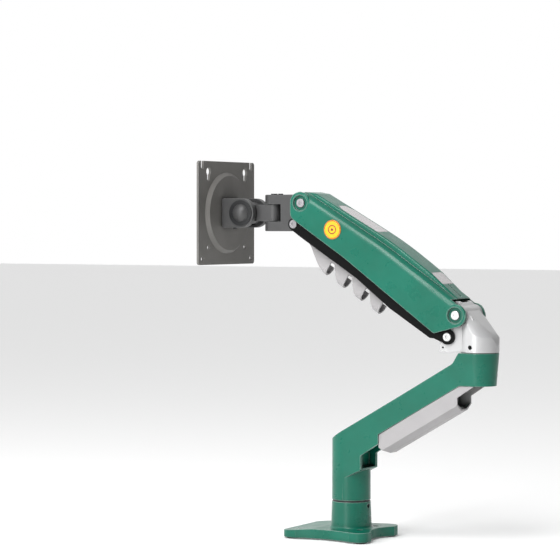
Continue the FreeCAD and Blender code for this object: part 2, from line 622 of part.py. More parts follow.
# ---- upper arm ------------------------------------------------------------------------
def shell_side():
    """Side outline of the shell's body, with its round nose and heel on the two pivots."""
    along = (-math.cos(RISE), math.sin(RISE))
    heel_slope = math.radians(14.2)
    heel_dir = (math.cos(heel_slope), math.sin(heel_slope))
    heel_low = (PIVOT[0] + HEEL_R * heel_dir[1], PIVOT[1] - HEEL_R * heel_dir[0])
    bottom_head = arm(ARM_LENGTH - 12.4, -19.6)
    bottom_mid = arm(ARM_LENGTH * 0.644, -20.4)
    bottom_end = arm(10, -29.0)
    left = HEAD[0] - NOSE_R
    head_dir = (bottom_head[0] - bottom_mid[0], bottom_head[1] - bottom_mid[1])
    end_dir = (bottom_end[0] - bottom_mid[0], bottom_end[1] - bottom_mid[1])
    top_mid = arm(ARM_LENGTH / 2, SHELL_CROWN)
    half_length = ARM_LENGTH / 2
    lift = math.atan2(SHELL_CROWN - NOSE_R, half_length)
    to_head = (-math.cos(RISE - lift), math.sin(RISE - lift))
    to_heel = (math.cos(RISE + lift), -math.sin(RISE + lift))
    nose = meet(top_mid, to_head, (left, 0), (0, 1))
    heel = meet(top_mid, to_heel, heel_low, heel_dir)
    return [nose + (NOSE_R,), meet(bottom_mid, head_dir, (left, 0), (0, 1)) + (9,),
            bottom_mid + (300,), meet(bottom_mid, end_dir, heel_low, heel_dir) + (3.5,),
            heel + (HEEL_R,), top_mid + (500,)]


def spine_side():
    """Side outline of the raised spine, from above the heel to the corner behind the nose."""
    return [arm(12.4, 4), arm(11.2, 12.9), arm(ARM_LENGTH * 0.24, 19.2) + (110,),
            arm(ARM_LENGTH * 0.48, SPINE_CROWN) + (400,), arm(ARM_LENGTH - 7, 16.3) + (6,),
            (HEAD[0] - 2.5, HEAD[1] + NOSE_R + 0.2, 3), (HEAD[0] - 8.5, HEAD[1] + 8), arm(ARM_LENGTH, 2)]


def shouldered_block():
    """Long block with the body's bowed top and rounded shoulders, running on past both pivots."""
    half_length = ARM_LENGTH / 2
    drop = (SHELL_CROWN - NOSE_R) / half_length
    over = half_length + 60
    low = -90
    side = [arm(half_length - over, low), arm(half_length - over, SHELL_CROWN - drop * over),
            arm(half_length, SHELL_CROWN) + (500,), arm(half_length + over, SHELL_CROWN - drop * over),
            arm(half_length + over, low)]
    block = prism_y(side, -SHELL_HALF_W, SHELL_HALF_W)
    shoulders = edges_where(block, lambda m, e: abs(abs(m.y) - SHELL_HALF_W) < 0.01 and
                            (m.x - PIVOT[0]) * math.sin(RISE) + (m.z - PIVOT[1]) * math.cos(RISE) > 5)
    return block.makeFillet(SHELL_SHOULDER, shoulders)


def spine_plan():
    """Plan of the spine, narrowing towards the heel."""
    full_from = ARM_LENGTH * 0.3
    heel, head = -5.0, ARM_LENGTH + 20
    plan = [(-heel, -SPINE_HEEL_HALF_W), (-heel, SPINE_HEEL_HALF_W), (-full_from, SPINE_HALF_W + 0.01),
            (-head, SPINE_HALF_W + 0.01), (-head, -SPINE_HALF_W - 0.01), (-full_from, -SPINE_HALF_W - 0.01)]
    return laid_on_arm(prism_z(plan, -40, 40))


def upper_arm_shell():
    """Inverted U casting: rounded shoulders, raised spine, pivot bosses, open below."""
    body = shouldered_block().common(prism_y(shell_side(), -SHELL_HALF_W, SHELL_HALF_W))
    for at in (PIVOT, HEAD):
        disc = rod_y(at, BOSS_DISC_R, -SHELL_HALF_W, SHELL_HALF_W)
        rims = edges_where(disc, lambda m, e: abs(m.y) > SHELL_HALF_W - 0.01)
        body = body.fuse(disc.makeFillet(1.2, rims))
    spine = prism_y(spine_side(), -SPINE_HALF_W, SPINE_HALF_W).common(spine_plan())
    crest = edges_where(spine, lambda m, e: abs(m.y) > SPINE_HEEL_HALF_W - 0.5 and e.Length > 8 and
                        (m.x - PIVOT[0]) * math.sin(RISE) + (m.z - PIVOT[1]) * math.cos(RISE) > 11.5)
    spine = spine.makeFillet(2.2, crest)
    outer = body.fuse(spine).removeSplitter()
    inner_half = SHELL_HALF_W - SHELL_WALL
    roof = SHELL_CROWN - SHELL_ROOF
    cavity = prism_y([arm(-30, 9.0), arm(20, 9.4), arm(ARM_LENGTH * 0.24, 11.5),
                      arm(ARM_LENGTH / 2, roof), arm(ARM_LENGTH - 24, 9.7), arm(ARM_LENGTH + 2, 9.7),
                      (HEAD[0] - 1.5, HEAD[1] + 30), (HEAD[0] - 30, HEAD[1] + 30),
                      arm(ARM_LENGTH + 30, -60), arm(-30, -60)], -inner_half, inner_half)
    trench = prism_y([arm(30, 5), arm(ARM_LENGTH * 0.24, 15.9), arm(ARM_LENGTH * 0.48, SPINE_CROWN - 3.2),
                      arm(ARM_LENGTH - 26, 13.6), arm(ARM_LENGTH - 26, 5)],
                     -SPINE_HALF_W + SHELL_WALL, SPINE_HALF_W - SHELL_WALL)
    heel_gap = prism_y([(PIVOT[0] - 12, ELBOW_TOP + 1.9), (PIVOT[0] + 30, ELBOW_TOP + 1.9),
                        (PIVOT[0] + 30, PIVOT[1]), (PIVOT[0] - 12, PIVOT[1])], -inner_half, inner_half)
    shell = outer.cut([cavity, trench, heel_gap])
    for at, pin in ((PIVOT, PIN_R), (HEAD, PIN_R)):
        for side in (-1, 1):
            face = side * SHELL_HALF_W
            inside = face - side * BOSS_GROOVE
            ring = rod_y(at, BOSS_RECESS_R, min(face, inside), max(face, inside))
            shell = shell.cut(ring)
        shell = shell.cut(rod_y(at, pin, -40, 40))
    anchor = arm(SPRING_HEAD, SPRING_HEAD_W)
    shell = shell.cut(rod_y(anchor, ANCHOR_PIN_R, -SHELL_HALF_W + 1.8, SHELL_HALF_W - 1.8))
    slot = prism_y([arm(14, 0), arm(14, 30), arm(40, 30), arm(40, 0)], -HEEL_SLOT_W / 2, HEEL_SLOT_W / 2)
    return shell.cut([front_inset(INSET_JOINT), rear_inset(INSET_JOINT), slot])


def inset(u0, u1, chamfer, grow):
    """Slab following the spine's top from u0 to u1, its head end chamfered, grown all round."""
    half = INSET_HALF_W + grow
    heel, head = u0 - grow, u1 + grow
    across = chamfer * 0.55
    plan = [(-heel, -half, 1.6), (-heel, half, 1.6), (-head + chamfer, half), (-head, half - across),
            (-head, across - half), (-head + chamfer, -half)]
    raised = prism_y(spine_side(), -half, half)
    lower = raised.copy()
    lower.translate(Vector(-INSET_DEEP * math.sin(RISE), 0, -INSET_DEEP * math.cos(RISE)))
    return raised.cut(lower).common(laid_on_arm(prism_z(plan, 8, 40)))


def front_inset(grow=0.0):
    return inset(ARM_LENGTH * 0.585, ARM_LENGTH * 0.845, 9.0, grow)


def rear_inset(grow=0.0):
    return inset(ARM_LENGTH * 0.155, ARM_LENGTH * 0.235, 3.0, grow)


def badge():
    at = arm(ARM_LENGTH * 0.775, -2.6)
    return rod_y(at, BADGE_R, -SHELL_HALF_W - BADGE_T, -SHELL_HALF_W)


def pin_y(at, r, half, socket):
    """Headless pin across the arm, with a shallow centre mark at each end."""
    pin = rod_y(at, r, -half, half)
    ends = edges_where(pin, lambda m, e: abs(m.y) > half - 0.01)
    pin = pin.makeChamfer(0.5, ends)
    for side in (-1, 1):
        y0 = side * half - (socket if side > 0 else 0)
        pin = pin.cut(rod_y(at, r * 0.35, y0, y0 + socket))
    return pin


def elbow_link_pins():
    """Two stub pins, one in each cheek of the slider's pocket."""
    whole = pin_y(LINK_PIVOT, LINK_PIN_R, LINK_HALF_W + 1.2, 0.6)
    return whole.cut(box(LINK_PIVOT[0] - 9, LINK_PIVOT[0] + 9, -POCKET_HALF_W, POCKET_HALF_W,
                         LINK_PIVOT[1] - 9, LINK_PIVOT[1] + 9))


def pivot_bushes(at, inner):
    """Two plain bushes pressed into the ears, one from each side."""
    outer = SHELL_HALF_W - SHELL_WALL - GAP
    return [rod_y(at, PIN_R + SLEEVE, a, b).cut(rod_y(at, PIN_R + RUN, -40, 40))
            for a, b in ((-outer, -inner), (inner, outer))]


# ---- parallel link --------------------------------------------------------------------
def lower_link():
    """Pressed-steel channel between the two link pins, its floor cut back at both ends."""
    end = ARM_LENGTH
    step = [ARM_LENGTH * share for share in FLOOR_STEP]
    side = [link(0, LINK_HEAD_R), link(16, FLOOR_HEAD), link(step[0], FLOOR_HEAD) + (30,),
            link(step[1], FLOOR_ELBOW) + (30,), link(end - 16, FLOOR_ELBOW),
            link(end - 12, FLOOR_ELBOW - 2.2),
            link(end - 2, LINK_END_R), link(end, -LINK_END_R + 1.6), link(end - 30, -6.0),
            link(ARM_LENGTH * 0.4, -4.0), link(0, -LINK_HEAD_R)]
    outer = prism_y(side, -LINK_HALF_W, LINK_HALF_W)
    for at, r in ((link(0, 0), LINK_HEAD_R), (link(end, 0), LINK_END_R)):
        outer = outer.fuse(rod_y(at, r, -LINK_HALF_W, LINK_HALF_W))
    inner = LINK_HALF_W - LINK_WALL
    open_end = 19.5
    trough = prism_y([link(open_end, -20), link(open_end, FLOOR_HEAD - LINK_WALL),
                      link(step[0], FLOOR_HEAD - LINK_WALL), link(step[1], FLOOR_ELBOW - LINK_WALL),
                      link(end - open_end, FLOOR_ELBOW - LINK_WALL), link(end - open_end, -20)],
                     -inner, inner)
    head_cut = prism_y([link(-20, -20), link(-20, 20), link(open_end, 20), link(open_end, -20)],
                       -inner, inner)
    end_cut = prism_y([link(end - open_end, -20), link(end - open_end, 20), link(end + 20, 20),
                       link(end + 20, -20)], -inner, inner)
    body = outer.cut([trough, head_cut, end_cut]).removeSplitter()
    body = body.cut(rod_y(link(0, 0), LINK_PIN_R + RUN, -30, 30))
    return body.cut(rod_y(link(end, 0), LINK_PIN_R + RUN, -30, 30))


def comb_profile():
    """Side view of the comb: sloping nose, and slanting notches between the fingers."""
    low = CLIP_CENTRE + CLIP_HALF_W
    points = [(CLIP_START, FLOOR_HEAD), (CLIP_START, FLOOR_HEAD + 2), (CLIP_START + 7, CLIP_BAR - 0.6),
              (CLIP_FIRST - 13.2, CLIP_CENTRE + 1.2), (CLIP_FIRST - 4, low - 1.4), (CLIP_FIRST - 2, low)]
    for i in range(CLIP_COUNT - 1):
        a = CLIP_FIRST + i * CLIP_PITCH
        points += [(a, low), (a, CLIP_BAR), (a + 5, CLIP_BAR), (a + 17, low - 1.6), (a + 19, low)]
    last = CLIP_FIRST + (CLIP_COUNT - 1) * CLIP_PITCH
    points += [(last, low), (last, FLOOR_HEAD)]
    return [(a, -p) for a, p in points]


def cable_clip():
    """Comb of four hooked fingers under the link that cables are pushed into."""
    last = CLIP_FIRST + (CLIP_COUNT - 1) * CLIP_PITCH
    half = CLIP_HALF_W
    outer = box(CLIP_START, last, -half, half, -CLIP_CENTRE, -FLOOR_HEAD)
    outer = outer.fuse(rod_x(0, -CLIP_CENTRE, half, CLIP_START, last)).removeSplitter()
    inner = half - CLIP_WALL
    roof = CLIP_BAR + 1.4
    bore = box(CLIP_START - 1, last + 1, -inner, inner, -CLIP_CENTRE, -roof)
    bore = bore.fuse(rod_x(0, -CLIP_CENTRE, inner, CLIP_START - 1, last + 1)).removeSplitter()
    slit = box(CLIP_START - 1, last + 1, 0, half + 1, -CLIP_SLIT[1], -CLIP_SLIT[0])
    comb = outer.cut([bore, slit]).common(prism_y(comb_profile(), -half - 1, half + 1))
    step = [ARM_LENGTH * share for share in FLOOR_STEP]
    rise = (FLOOR_ELBOW - FLOOR_HEAD) / (step[1] - step[0])
    far = last + 9
    under = prism_y([(step[0] - 9, -FLOOR_HEAD + 1), (step[0] - 9, -FLOOR_HEAD - 0.05),
                     (step[0] - 3, -FLOOR_HEAD - 0.05), (far, -FLOOR_HEAD - 0.3 - rise * (far + 3 - step[0])),
                     (far, -FLOOR_HEAD + 1)], -half - 1, half + 1)
    return laid_on_link(comb.cut(under))


def clip_screws():
    """Two screws through the link's floor into the comb's bar."""
    screws = []
    for i in range(2):
        a = CLIP_FIRST + i * CLIP_PITCH + 2.5
        top = LINK_WALL - FLOOR_HEAD
        head = rod_z(a, 0, 3.0, top, top + 1.6)
        screws.append(laid_on_link(head.cut(hex_socket_z(a, 0, 2.0, top + 0.6, top + 2))))
    return screws


# ---- gas spring -----------------------------------------------------------------------
def spring_frame():
    """Eye of the cylinder, unit direction towards the rod's eye, and the distance between."""
    hx, hz = arm(SPRING_HEAD, SPRING_HEAD_W)
    dx, dz = ANCHOR[0] - hx, ANCHOR[1] - hz
    length = math.hypot(dx, dz)
    return Vector(hx, 0, hz), Vector(dx / length, 0, dz / length), length


def gas_cylinder():
    """Pressure tube with its fixed eye."""
    eye, way, _ = spring_frame()
    tube = Part.makeCylinder(TUBE_R, TUBE_LENGTH, eye + way * 10, way)
    neck = Part.makeCylinder(4.0, 12, eye, way)
    ring = rod_y((eye.x, eye.z), EYE_R, -EYE_HALF_W, EYE_HALF_W)
    body = tube.fuse([neck, ring]).removeSplitter()
    body = body.cut(Part.makeCylinder(ROD_R + RUN, TUBE_LENGTH - 4, eye + way * 16, way))
    return body.cut(rod_y((eye.x, eye.z), ANCHOR_PIN_R + RUN, -20, 20))


def gas_rod():
    """Piston rod with its eye, loose on the slider's pin."""
    eye, way, length = spring_frame()
    rod = Part.makeCylinder(ROD_R, length - 52, eye + way * 52, way)
    ring = rod_y(ANCHOR, EYE_R, -EYE_HALF_W, EYE_HALF_W)
    return rod.fuse(ring).removeSplitter().cut(rod_y(ANCHOR, ANCHOR_PIN_R + ANCHOR_PLAY, -20, 20))


# ---- head -----------------------------------------------------------------------------
def head_bracket():
    """Fork that carries the pan knuckle, with a hub for the head pivot and a boss for the link pin."""
    top, low = HEAD_Z + FORK_H / 2, HEAD_Z - FORK_H / 2
    half = FORK_END_R
    plan = [(PAN_X - half, -half, half - 0.01), (HEAD[0] + 14, -half), (HEAD[0] + 14, half),
            (PAN_X - half, half, half - 0.01)]
    side = [(PAN_X - 12, low), (LINK_HEAD[0] + 3, low, 3), (LINK_HEAD[0] + 7.4, LINK_HEAD[1] + 2, 4),
            (HEAD[0] + 8.4, HEAD[1] - 6, 4), (HEAD[0] + 8.4, top, 7), (PAN_X - 12, top)]
    block = prism_z(plan, low, top)
    rims = edges_where(block, lambda m, e: abs(m.z - top) < 0.01 or abs(m.z - low) < 0.01)
    body = block.makeFillet(1.2, rims).common(prism_y(side, -30, 30))
    hub_half = SHELL_HALF_W - SHELL_WALL - GAP
    boss_half = LINK_HALF_W - LINK_WALL - GAP
    hub = rod_y(HEAD, HEAD_HUB_R, -hub_half, hub_half)
    body = body.fuse([hub, rod_y(LINK_HEAD, LINK_BOSS_R, -boss_half, boss_half)])
    body = body.removeSplitter()
    notch_end = PAN_X + KNUCKLE_R + NOTCH_ROOM
    notch = box(PAN_X - 20, notch_end, -30, 30, HEAD_Z - NOTCH_H / 2, HEAD_Z + NOTCH_H / 2)
    body = body.cut(notch)
    body = body.cut(rod_z(PAN_X, 0, PAN_PIN_R, low - 1, top + 1))
    body = body.cut(rod_y(HEAD, PIN_R + SLEEVE, -30, 30)).cut(rod_y(LINK_HEAD, LINK_PIN_R, -30, 30))
    return body.cut(rod_z(PAN_X + 8, 0, 1.5, top - 8, top + 1))


def pan_pin():
    top, low = HEAD_Z + FORK_H / 2, HEAD_Z - FORK_H / 2
    pin = rod_z(PAN_X, 0, PAN_PIN_R, low + 1, top)
    cap = rod_z(PAN_X, 0, 3.6, top, top + 1.1)
    return pin.fuse(cap).cut(hex_socket_z(PAN_X, 0, 3.0, top - 2.5, top + 2)).removeSplitter()


def pan_clamp_screw():
    top = HEAD_Z + FORK_H / 2
    screw = rod_z(PAN_X + 8, 0, 1.5, top - 8, top).fuse(rod_z(PAN_X + 8, 0, 2.8, top, top + 1.1))
    return screw.cut(hex_socket_z(PAN_X + 8, 0, 2.0, top - 1.5, top + 2)).removeSplitter()


def pan_washers():
    """Plastic washers above and below the knuckle."""
    half = KNUCKLE_H / 2
    spans = [(HEAD_Z + half + 0.05, HEAD_Z + NOTCH_H / 2), (HEAD_Z - NOTCH_H / 2, HEAD_Z - half - 0.05)]
    return [rod_z(PAN_X, 0, KNUCKLE_R - 0.4, a, b).cut(rod_z(PAN_X, 0, PAN_PIN_R + 0.1, a - 1, b + 1))
            for a, b in spans]


def tilt_knuckle():
    """Neck with an upright barrel for the pan pin and a level barrel for the tilt bolt."""
    half = KNUCKLE_H / 2
    upright = rod_z(PAN_X, 0, KNUCKLE_R, HEAD_Z - half, HEAD_Z + half)
    neck = box(TILT_X, PAN_X, -KNUCKLE_R, KNUCKLE_R, HEAD_Z - half, HEAD_Z + half)
    level = rod_y((TILT_X, HEAD_Z), BARREL_R, -BARREL_HALF_W, BARREL_HALF_W)
    body = upright.fuse([neck, level]).removeSplitter()
    body = body.cut(rod_z(PAN_X, 0, PAN_PIN_R + RUN, HEAD_Z - 20, HEAD_Z + 20))
    return body.cut(rod_y((TILT_X, HEAD_Z), TILT_BOLT_R + RUN, -30, 30))


def tilt_housing():
    """Clevis with two round cheeks, on the plate's spindle."""
    front = PLATE_X + SHEET_T + EMBOSS_H + 0.6
    half = HOUSING_HALF_W
    r = HOUSING_R
    side = [(front, HEAD_Z - r, 1.5), (TILT_X + r, HEAD_Z - r, r - 0.05), (TILT_X + r, HEAD_Z + r, r - 0.05),
            (front, HEAD_Z + r, 1.5)]
    body = prism_y(side, -half, half)
    room = BARREL_HALF_W + 0.6
    gap = rod_y((TILT_X, HEAD_Z), BARREL_R + 1.0, -room, room)
    sweep = box(TILT_X, TILT_X + r + 1, -room, room, HEAD_Z - r - 1, HEAD_Z + r + 1)
    above = box(TILT_X - BARREL_R - 1.0, TILT_X, -room, room, HEAD_Z, HEAD_Z + r + 1)
    body = body.cut([gap, sweep, above])
    body = body.cut(rod_y((TILT_X, HEAD_Z), TILT_BOLT_R, -30, 30))
    body = body.cut(rod_x(0, HEAD_Z, SPINDLE_R + RUN, front - 1, front + 8.5))
    return body.cut(rod_z(TILT_X - 18, 0, 2.0, HEAD_Z - r - 1, HEAD_Z - SPINDLE_R - 1))


def tilt_washers():
    """Broad washer under the dome and a thin one between cheeks and barrel on each side."""
    centre = (TILT_X, HEAD_Z)
    half = HOUSING_HALF_W
    broad = rod_y(centre, WASHER_R, -half - 1.0, -half).cut(rod_y(centre, TILT_BOLT_R, -30, 30))
    thin = [rod_y(centre, BARREL_R - 1, a, a + 0.45).cut(rod_y(centre, TILT_BOLT_R + 0.1, -30, 30))
            for a in (-BARREL_HALF_W - 0.55, BARREL_HALF_W + 0.1)]
    return [broad] + thin


def tilt_bolt():
    """Bolt with a low domed head on the near side."""
    centre = (TILT_X, HEAD_Z)
    face = -HOUSING_HALF_W - 1.0
    sphere_r = (DOME_R ** 2 + DOME_RISE ** 2) / (2 * DOME_RISE)
    ball = Part.makeSphere(sphere_r, Vector(TILT_X, face + sphere_r - DOME_RISE, HEAD_Z))
    dome = ball.common(rod_y(centre, DOME_R, face - DOME_RISE - 1, face))
    return dome.fuse(rod_y(centre, TILT_BOLT_R, face - 0.5, HOUSING_HALF_W + 6)).removeSplitter()


def tilt_nut():
    centre = (TILT_X, HEAD_Z)
    half = HOUSING_HALF_W
    turns = [math.radians(60 * i + 30) for i in range(6)]
    r = 9.2
    hexagon = [(TILT_X + r * math.cos(t), HEAD_Z + r * math.sin(t)) for t in turns]
    nut = prism_y(hexagon, half, half + 5.2)
    return nut.cut(rod_y(centre, TILT_BOLT_R, half - 1, half + 8))


def housing_set_screw():
    low = HEAD_Z - HOUSING_R
    screw = rod_z(TILT_X - 18, 0, 2.0, low - 1.2, HEAD_Z - SPINDLE_R - 1.2)
    return screw.cut(hex_socket_z(TILT_X - 18, 0, 1.5, low - 2, low + 0.5))


# ---- VESA plate -----------------------------------------------------------------------
def vesa_plate():
    """Pressed plate with a raised centre, open and keyhole slots above, round holes below."""
    x0, x1 = PLATE_X, PLATE_X + SHEET_T
    w, t = PLATE_W / 2, PLATE_TALL / 2
    c = PLATE_CORNER
    low, high = HEAD_Z - t, HEAD_Z + t
    sheet = prism_x([(-w, low, c), (w, low, c), (w, high, c), (-w, high, c)], x0, x1)
    centre = Vector(x1, 0, HEAD_Z)
    raised = Part.makeCone(EMBOSS_FOOT_R, EMBOSS_TOP_R, EMBOSS_H, centre, X_AXIS)
    sunk = Part.makeCone(EMBOSS_FOOT_R - 1.6, EMBOSS_TOP_R - 1.6, EMBOSS_H, Vector(x0, 0, HEAD_Z), X_AXIS)
    plate = sheet.fuse(raised).cut(sunk).removeSplitter()
    small, large = VESA_SMALL / 2, VESA_LARGE / 2
    half = SLOT_W / 2
    for side in (-1, 1):
        y = side * small
        plate = plate.cut(rod_x(y, HEAD_Z - small, VESA_HOLE_R, x0 - 1, x1 + 1))
        plate = plate.cut(rod_x(y, HEAD_Z + small, half, x0 - 1, x1 + 1))
        plate = plate.cut(box(x0 - 1, x1 + 1, y - half, y + half, HEAD_Z + small, HEAD_Z + small + 7))
        plate = plate.cut(rod_x(y, HEAD_Z + small + 7.5, KEY_R, x0 - 1, x1 + 1))
        y = side * large
        plate = plate.cut(rod_x(y, HEAD_Z - large, VESA_HOLE_R, x0 - 1, x1 + 1))
        plate = plate.cut(rod_x(y, HEAD_Z + large, half, x0 - 1, x1 + 1))
        plate = plate.cut(box(x0 - 1, x1 + 1, y - half, y + half, HEAD_Z + large, HEAD_Z + t + 1))
    return plate.cut(rod_x(0, HEAD_Z, SPINDLE_R, x0 - 1, x1 + EMBOSS_H + 1))


def plate_spindle():
    """Hollow spindle riveted to the plate, turning in the tilt housing."""
    back = PLATE_X + SHEET_T
    flange = rod_x(0, HEAD_Z, 14.0, back - 0.9, back + EMBOSS_H - SHEET_T)
    shaft = rod_x(0, HEAD_Z, SPINDLE_R, back + EMBOSS_H - SHEET_T - 0.1, back + EMBOSS_H + 0.6 + 8.0)
    return flange.fuse(shaft).removeSplitter().cut(rod_x(0, HEAD_Z, 3.0, back - 2, back + 20))


def plate_washer():
    back = PLATE_X + SHEET_T + EMBOSS_H
    return rod_x(0, HEAD_Z, HOUSING_R - 1.0, back + 0.05, back + 0.6).cut(
        rod_x(0, HEAD_Z, SPINDLE_R + 0.1, back - 1, back + 2))


# ---- all nodes ------------------------------------------------------------------------
def everything():
    reach = LOWER_ARM_REACH
    half_pin = SHELL_HALF_W - 0.2
    return {
        "base_casting": base_casting(),
        "base_pads": base_pads(),
        "base_post": base_post(),
        "base_lock_screw": base_lock_screw(),
        "base_slip_ring": slip_ring(0, COLUMN_R - 0.9, POST_R + 0.2, BASE_FACE_Z - RING_T,
                                    BASE_FACE_Z - 0.05),
        "lower_arm_bush": bush(0, POST_R, BASE_FACE_Z + 0.4, POST_TOP - 2),
        "lower_arm": lower_arm(),
        "cable_cover": cable_cover(),
        "cable_cover_clips": cover_clips(),
        "elbow_bush": bush(reach, ELBOW_POST_R, SOCKET_Z + RELIEF_DEEP, ELBOW_FACE_Z - 0.1),
        "elbow_slip_washer": slip_ring(reach, SOCKET_R - 1.0, ELBOW_POST_R + 0.2, ELBOW_FACE_Z,
                                       ELBOW_FACE_Z + 0.55),
        "elbow_housing": elbow_housing(),
        "elbow_post": elbow_post(),
        "elbow_retainer": elbow_retainer(),
        "elbow_set_screw": elbow_set_screw(),
        "elbow_link_pins": elbow_link_pins(),
        "tension_screw": tension_screw(),
        "tension_slider": tension_slider(),
        "slider_pin": rod_y(ANCHOR, ANCHOR_PIN_R, -SLIDER_HALF_W, SLIDER_HALF_W),
        "upper_arm_shell": upper_arm_shell(),
        "front_inset": front_inset(),
        "rear_inset": rear_inset(),
        "badge": badge(),
        "main_pivot_pin": pin_y(PIVOT, PIN_R, half_pin, 0.6),
        "head_pivot_pin": pin_y(HEAD, PIN_R, half_pin, 0.6),
        "main_pivot_bushes": pivot_bushes(PIVOT, POCKET_HALF_W),
        "head_pivot_bushes": pivot_bushes(HEAD, 2.0),
        "spring_pin": rod_y(arm(SPRING_HEAD, SPRING_HEAD_W), ANCHOR_PIN_R, -SHELL_HALF_W + 1.8,
                            SHELL_HALF_W - 1.8),
        "lower_link": lower_link(),
        "cable_clip": cable_clip(),
        "cable_clip_screws": clip_screws(),
        "gas_cylinder": gas_cylinder(),
        "gas_rod": gas_rod(),
        "head_bracket": head_bracket(),
        "head_link_pin": pin_y(LINK_HEAD, LINK_PIN_R, LINK_HALF_W + 1.2, 0.6),
        "pan_pin": pan_pin(),
        "pan_clamp_screw": pan_clamp_screw(),
        "pan_washers": pan_washers(),
        "tilt_knuckle": tilt_knuckle(),
        "tilt_housing": tilt_housing(),
        "tilt_washers": tilt_washers(),
        "tilt_bolt": tilt_bolt(),
        "tilt_nut": tilt_nut(),
        "housing_set_screw": housing_set_screw(),
        "plate_spindle": plate_spindle(),
        "plate_washer": plate_washer(),
        "vesa_plate": vesa_plate(),
    }


for name, shape in everything().items():
    solids = shape if isinstance(shape, list) else shape.Solids
    whole = solids[0] if len(solids) == 1 else Part.makeCompound(solids)
    whole.exportStep("parts/" + name + ".step")
    print(name, len(solids), round(whole.Volume, 1), whole.isValid())
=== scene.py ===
"""Looks of a gas-spring monitor arm: finishes, fine pieces, studio and camera.

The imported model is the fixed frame. Every length below is in metres unless a name says mm, and every
place comes from the frame's joints and boxes.
"""

import json
import logging
import math
from dataclasses import dataclass, field
from enum import Enum

import bmesh
import bpy
import numpy as np
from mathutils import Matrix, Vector


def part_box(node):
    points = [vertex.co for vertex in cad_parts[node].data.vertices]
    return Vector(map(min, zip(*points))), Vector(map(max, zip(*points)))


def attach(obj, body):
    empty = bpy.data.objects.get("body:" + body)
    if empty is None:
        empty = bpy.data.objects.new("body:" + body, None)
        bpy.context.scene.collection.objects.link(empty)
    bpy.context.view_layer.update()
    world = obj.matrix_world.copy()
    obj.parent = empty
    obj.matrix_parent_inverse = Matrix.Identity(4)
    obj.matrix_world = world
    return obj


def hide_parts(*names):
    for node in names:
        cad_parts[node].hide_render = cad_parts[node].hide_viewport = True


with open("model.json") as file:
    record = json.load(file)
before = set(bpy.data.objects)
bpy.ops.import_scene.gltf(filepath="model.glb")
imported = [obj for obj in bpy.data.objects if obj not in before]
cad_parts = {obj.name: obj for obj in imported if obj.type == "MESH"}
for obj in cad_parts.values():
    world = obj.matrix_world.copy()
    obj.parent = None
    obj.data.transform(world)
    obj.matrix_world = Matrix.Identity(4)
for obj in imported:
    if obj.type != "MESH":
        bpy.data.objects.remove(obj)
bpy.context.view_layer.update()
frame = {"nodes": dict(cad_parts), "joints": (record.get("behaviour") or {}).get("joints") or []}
LOG = logging.getLogger("monitor_arm")
MM = 0.001
JOINT_AT: dict[str, np.ndarray] = {j["name"]: np.array(j["pos_m"]) for j in frame["joints"]}


class Axis(Enum):
    """Row axes that a turned piece can stand on."""

    X = (1.0, 0.0, 0.0)
    Y = (0.0, 1.0, 0.0)
    Z = (0.0, 0.0, 1.0)


class Grain(Enum):
    """How a surface was made, which sets the pattern of its fine relief."""

    SPRAYED = "powder coat, soft orange peel"
    SPARKED = "moulding with a spark-eroded texture"
    TURNED = "lathe rings round the piece's axis"
    ROLLED = "smooth sheet or polish"


# ---- nodes and colours ------------------------------------------------------------------
def linear(code: str) -> tuple[float, float, float, float]:
    """Turn an sRGB hex code into a linear colour.

    Args:
        code: six hex digits with a leading #.

    Returns:
        Red, green, blue and an alpha of one, linear.
    """
    values = [int(code[i:i + 2], 16) / 255 for i in (1, 3, 5)]
    flat = [v / 12.92 if v <= 0.04045 else ((v + 0.055) / 1.055) ** 2.4 for v in values]
    return (flat[0], flat[1], flat[2], 1.0)


def add_node(tree: bpy.types.NodeTree, kind: str, settings: dict | None = None,
             links: dict | None = None) -> bpy.types.Node:
    """Add a node with its settings and links.

    Args:
        tree: the material's node tree.
        kind: the node's type name.
        settings: attribute names, input names or input numbers, with their values.
        links: input names with the output sockets that feed them.

    Returns:
        The new node.
    """
    node = tree.nodes.new(kind)
    for key, value in (settings or {}).items():
        if isinstance(key, int) or key in node.inputs:
            node.inputs[key].default_value = value
        else:
            setattr(node, key, value)
    for key, socket in (links or {}).items():
        tree.links.new(socket, node.inputs[key])
    return node


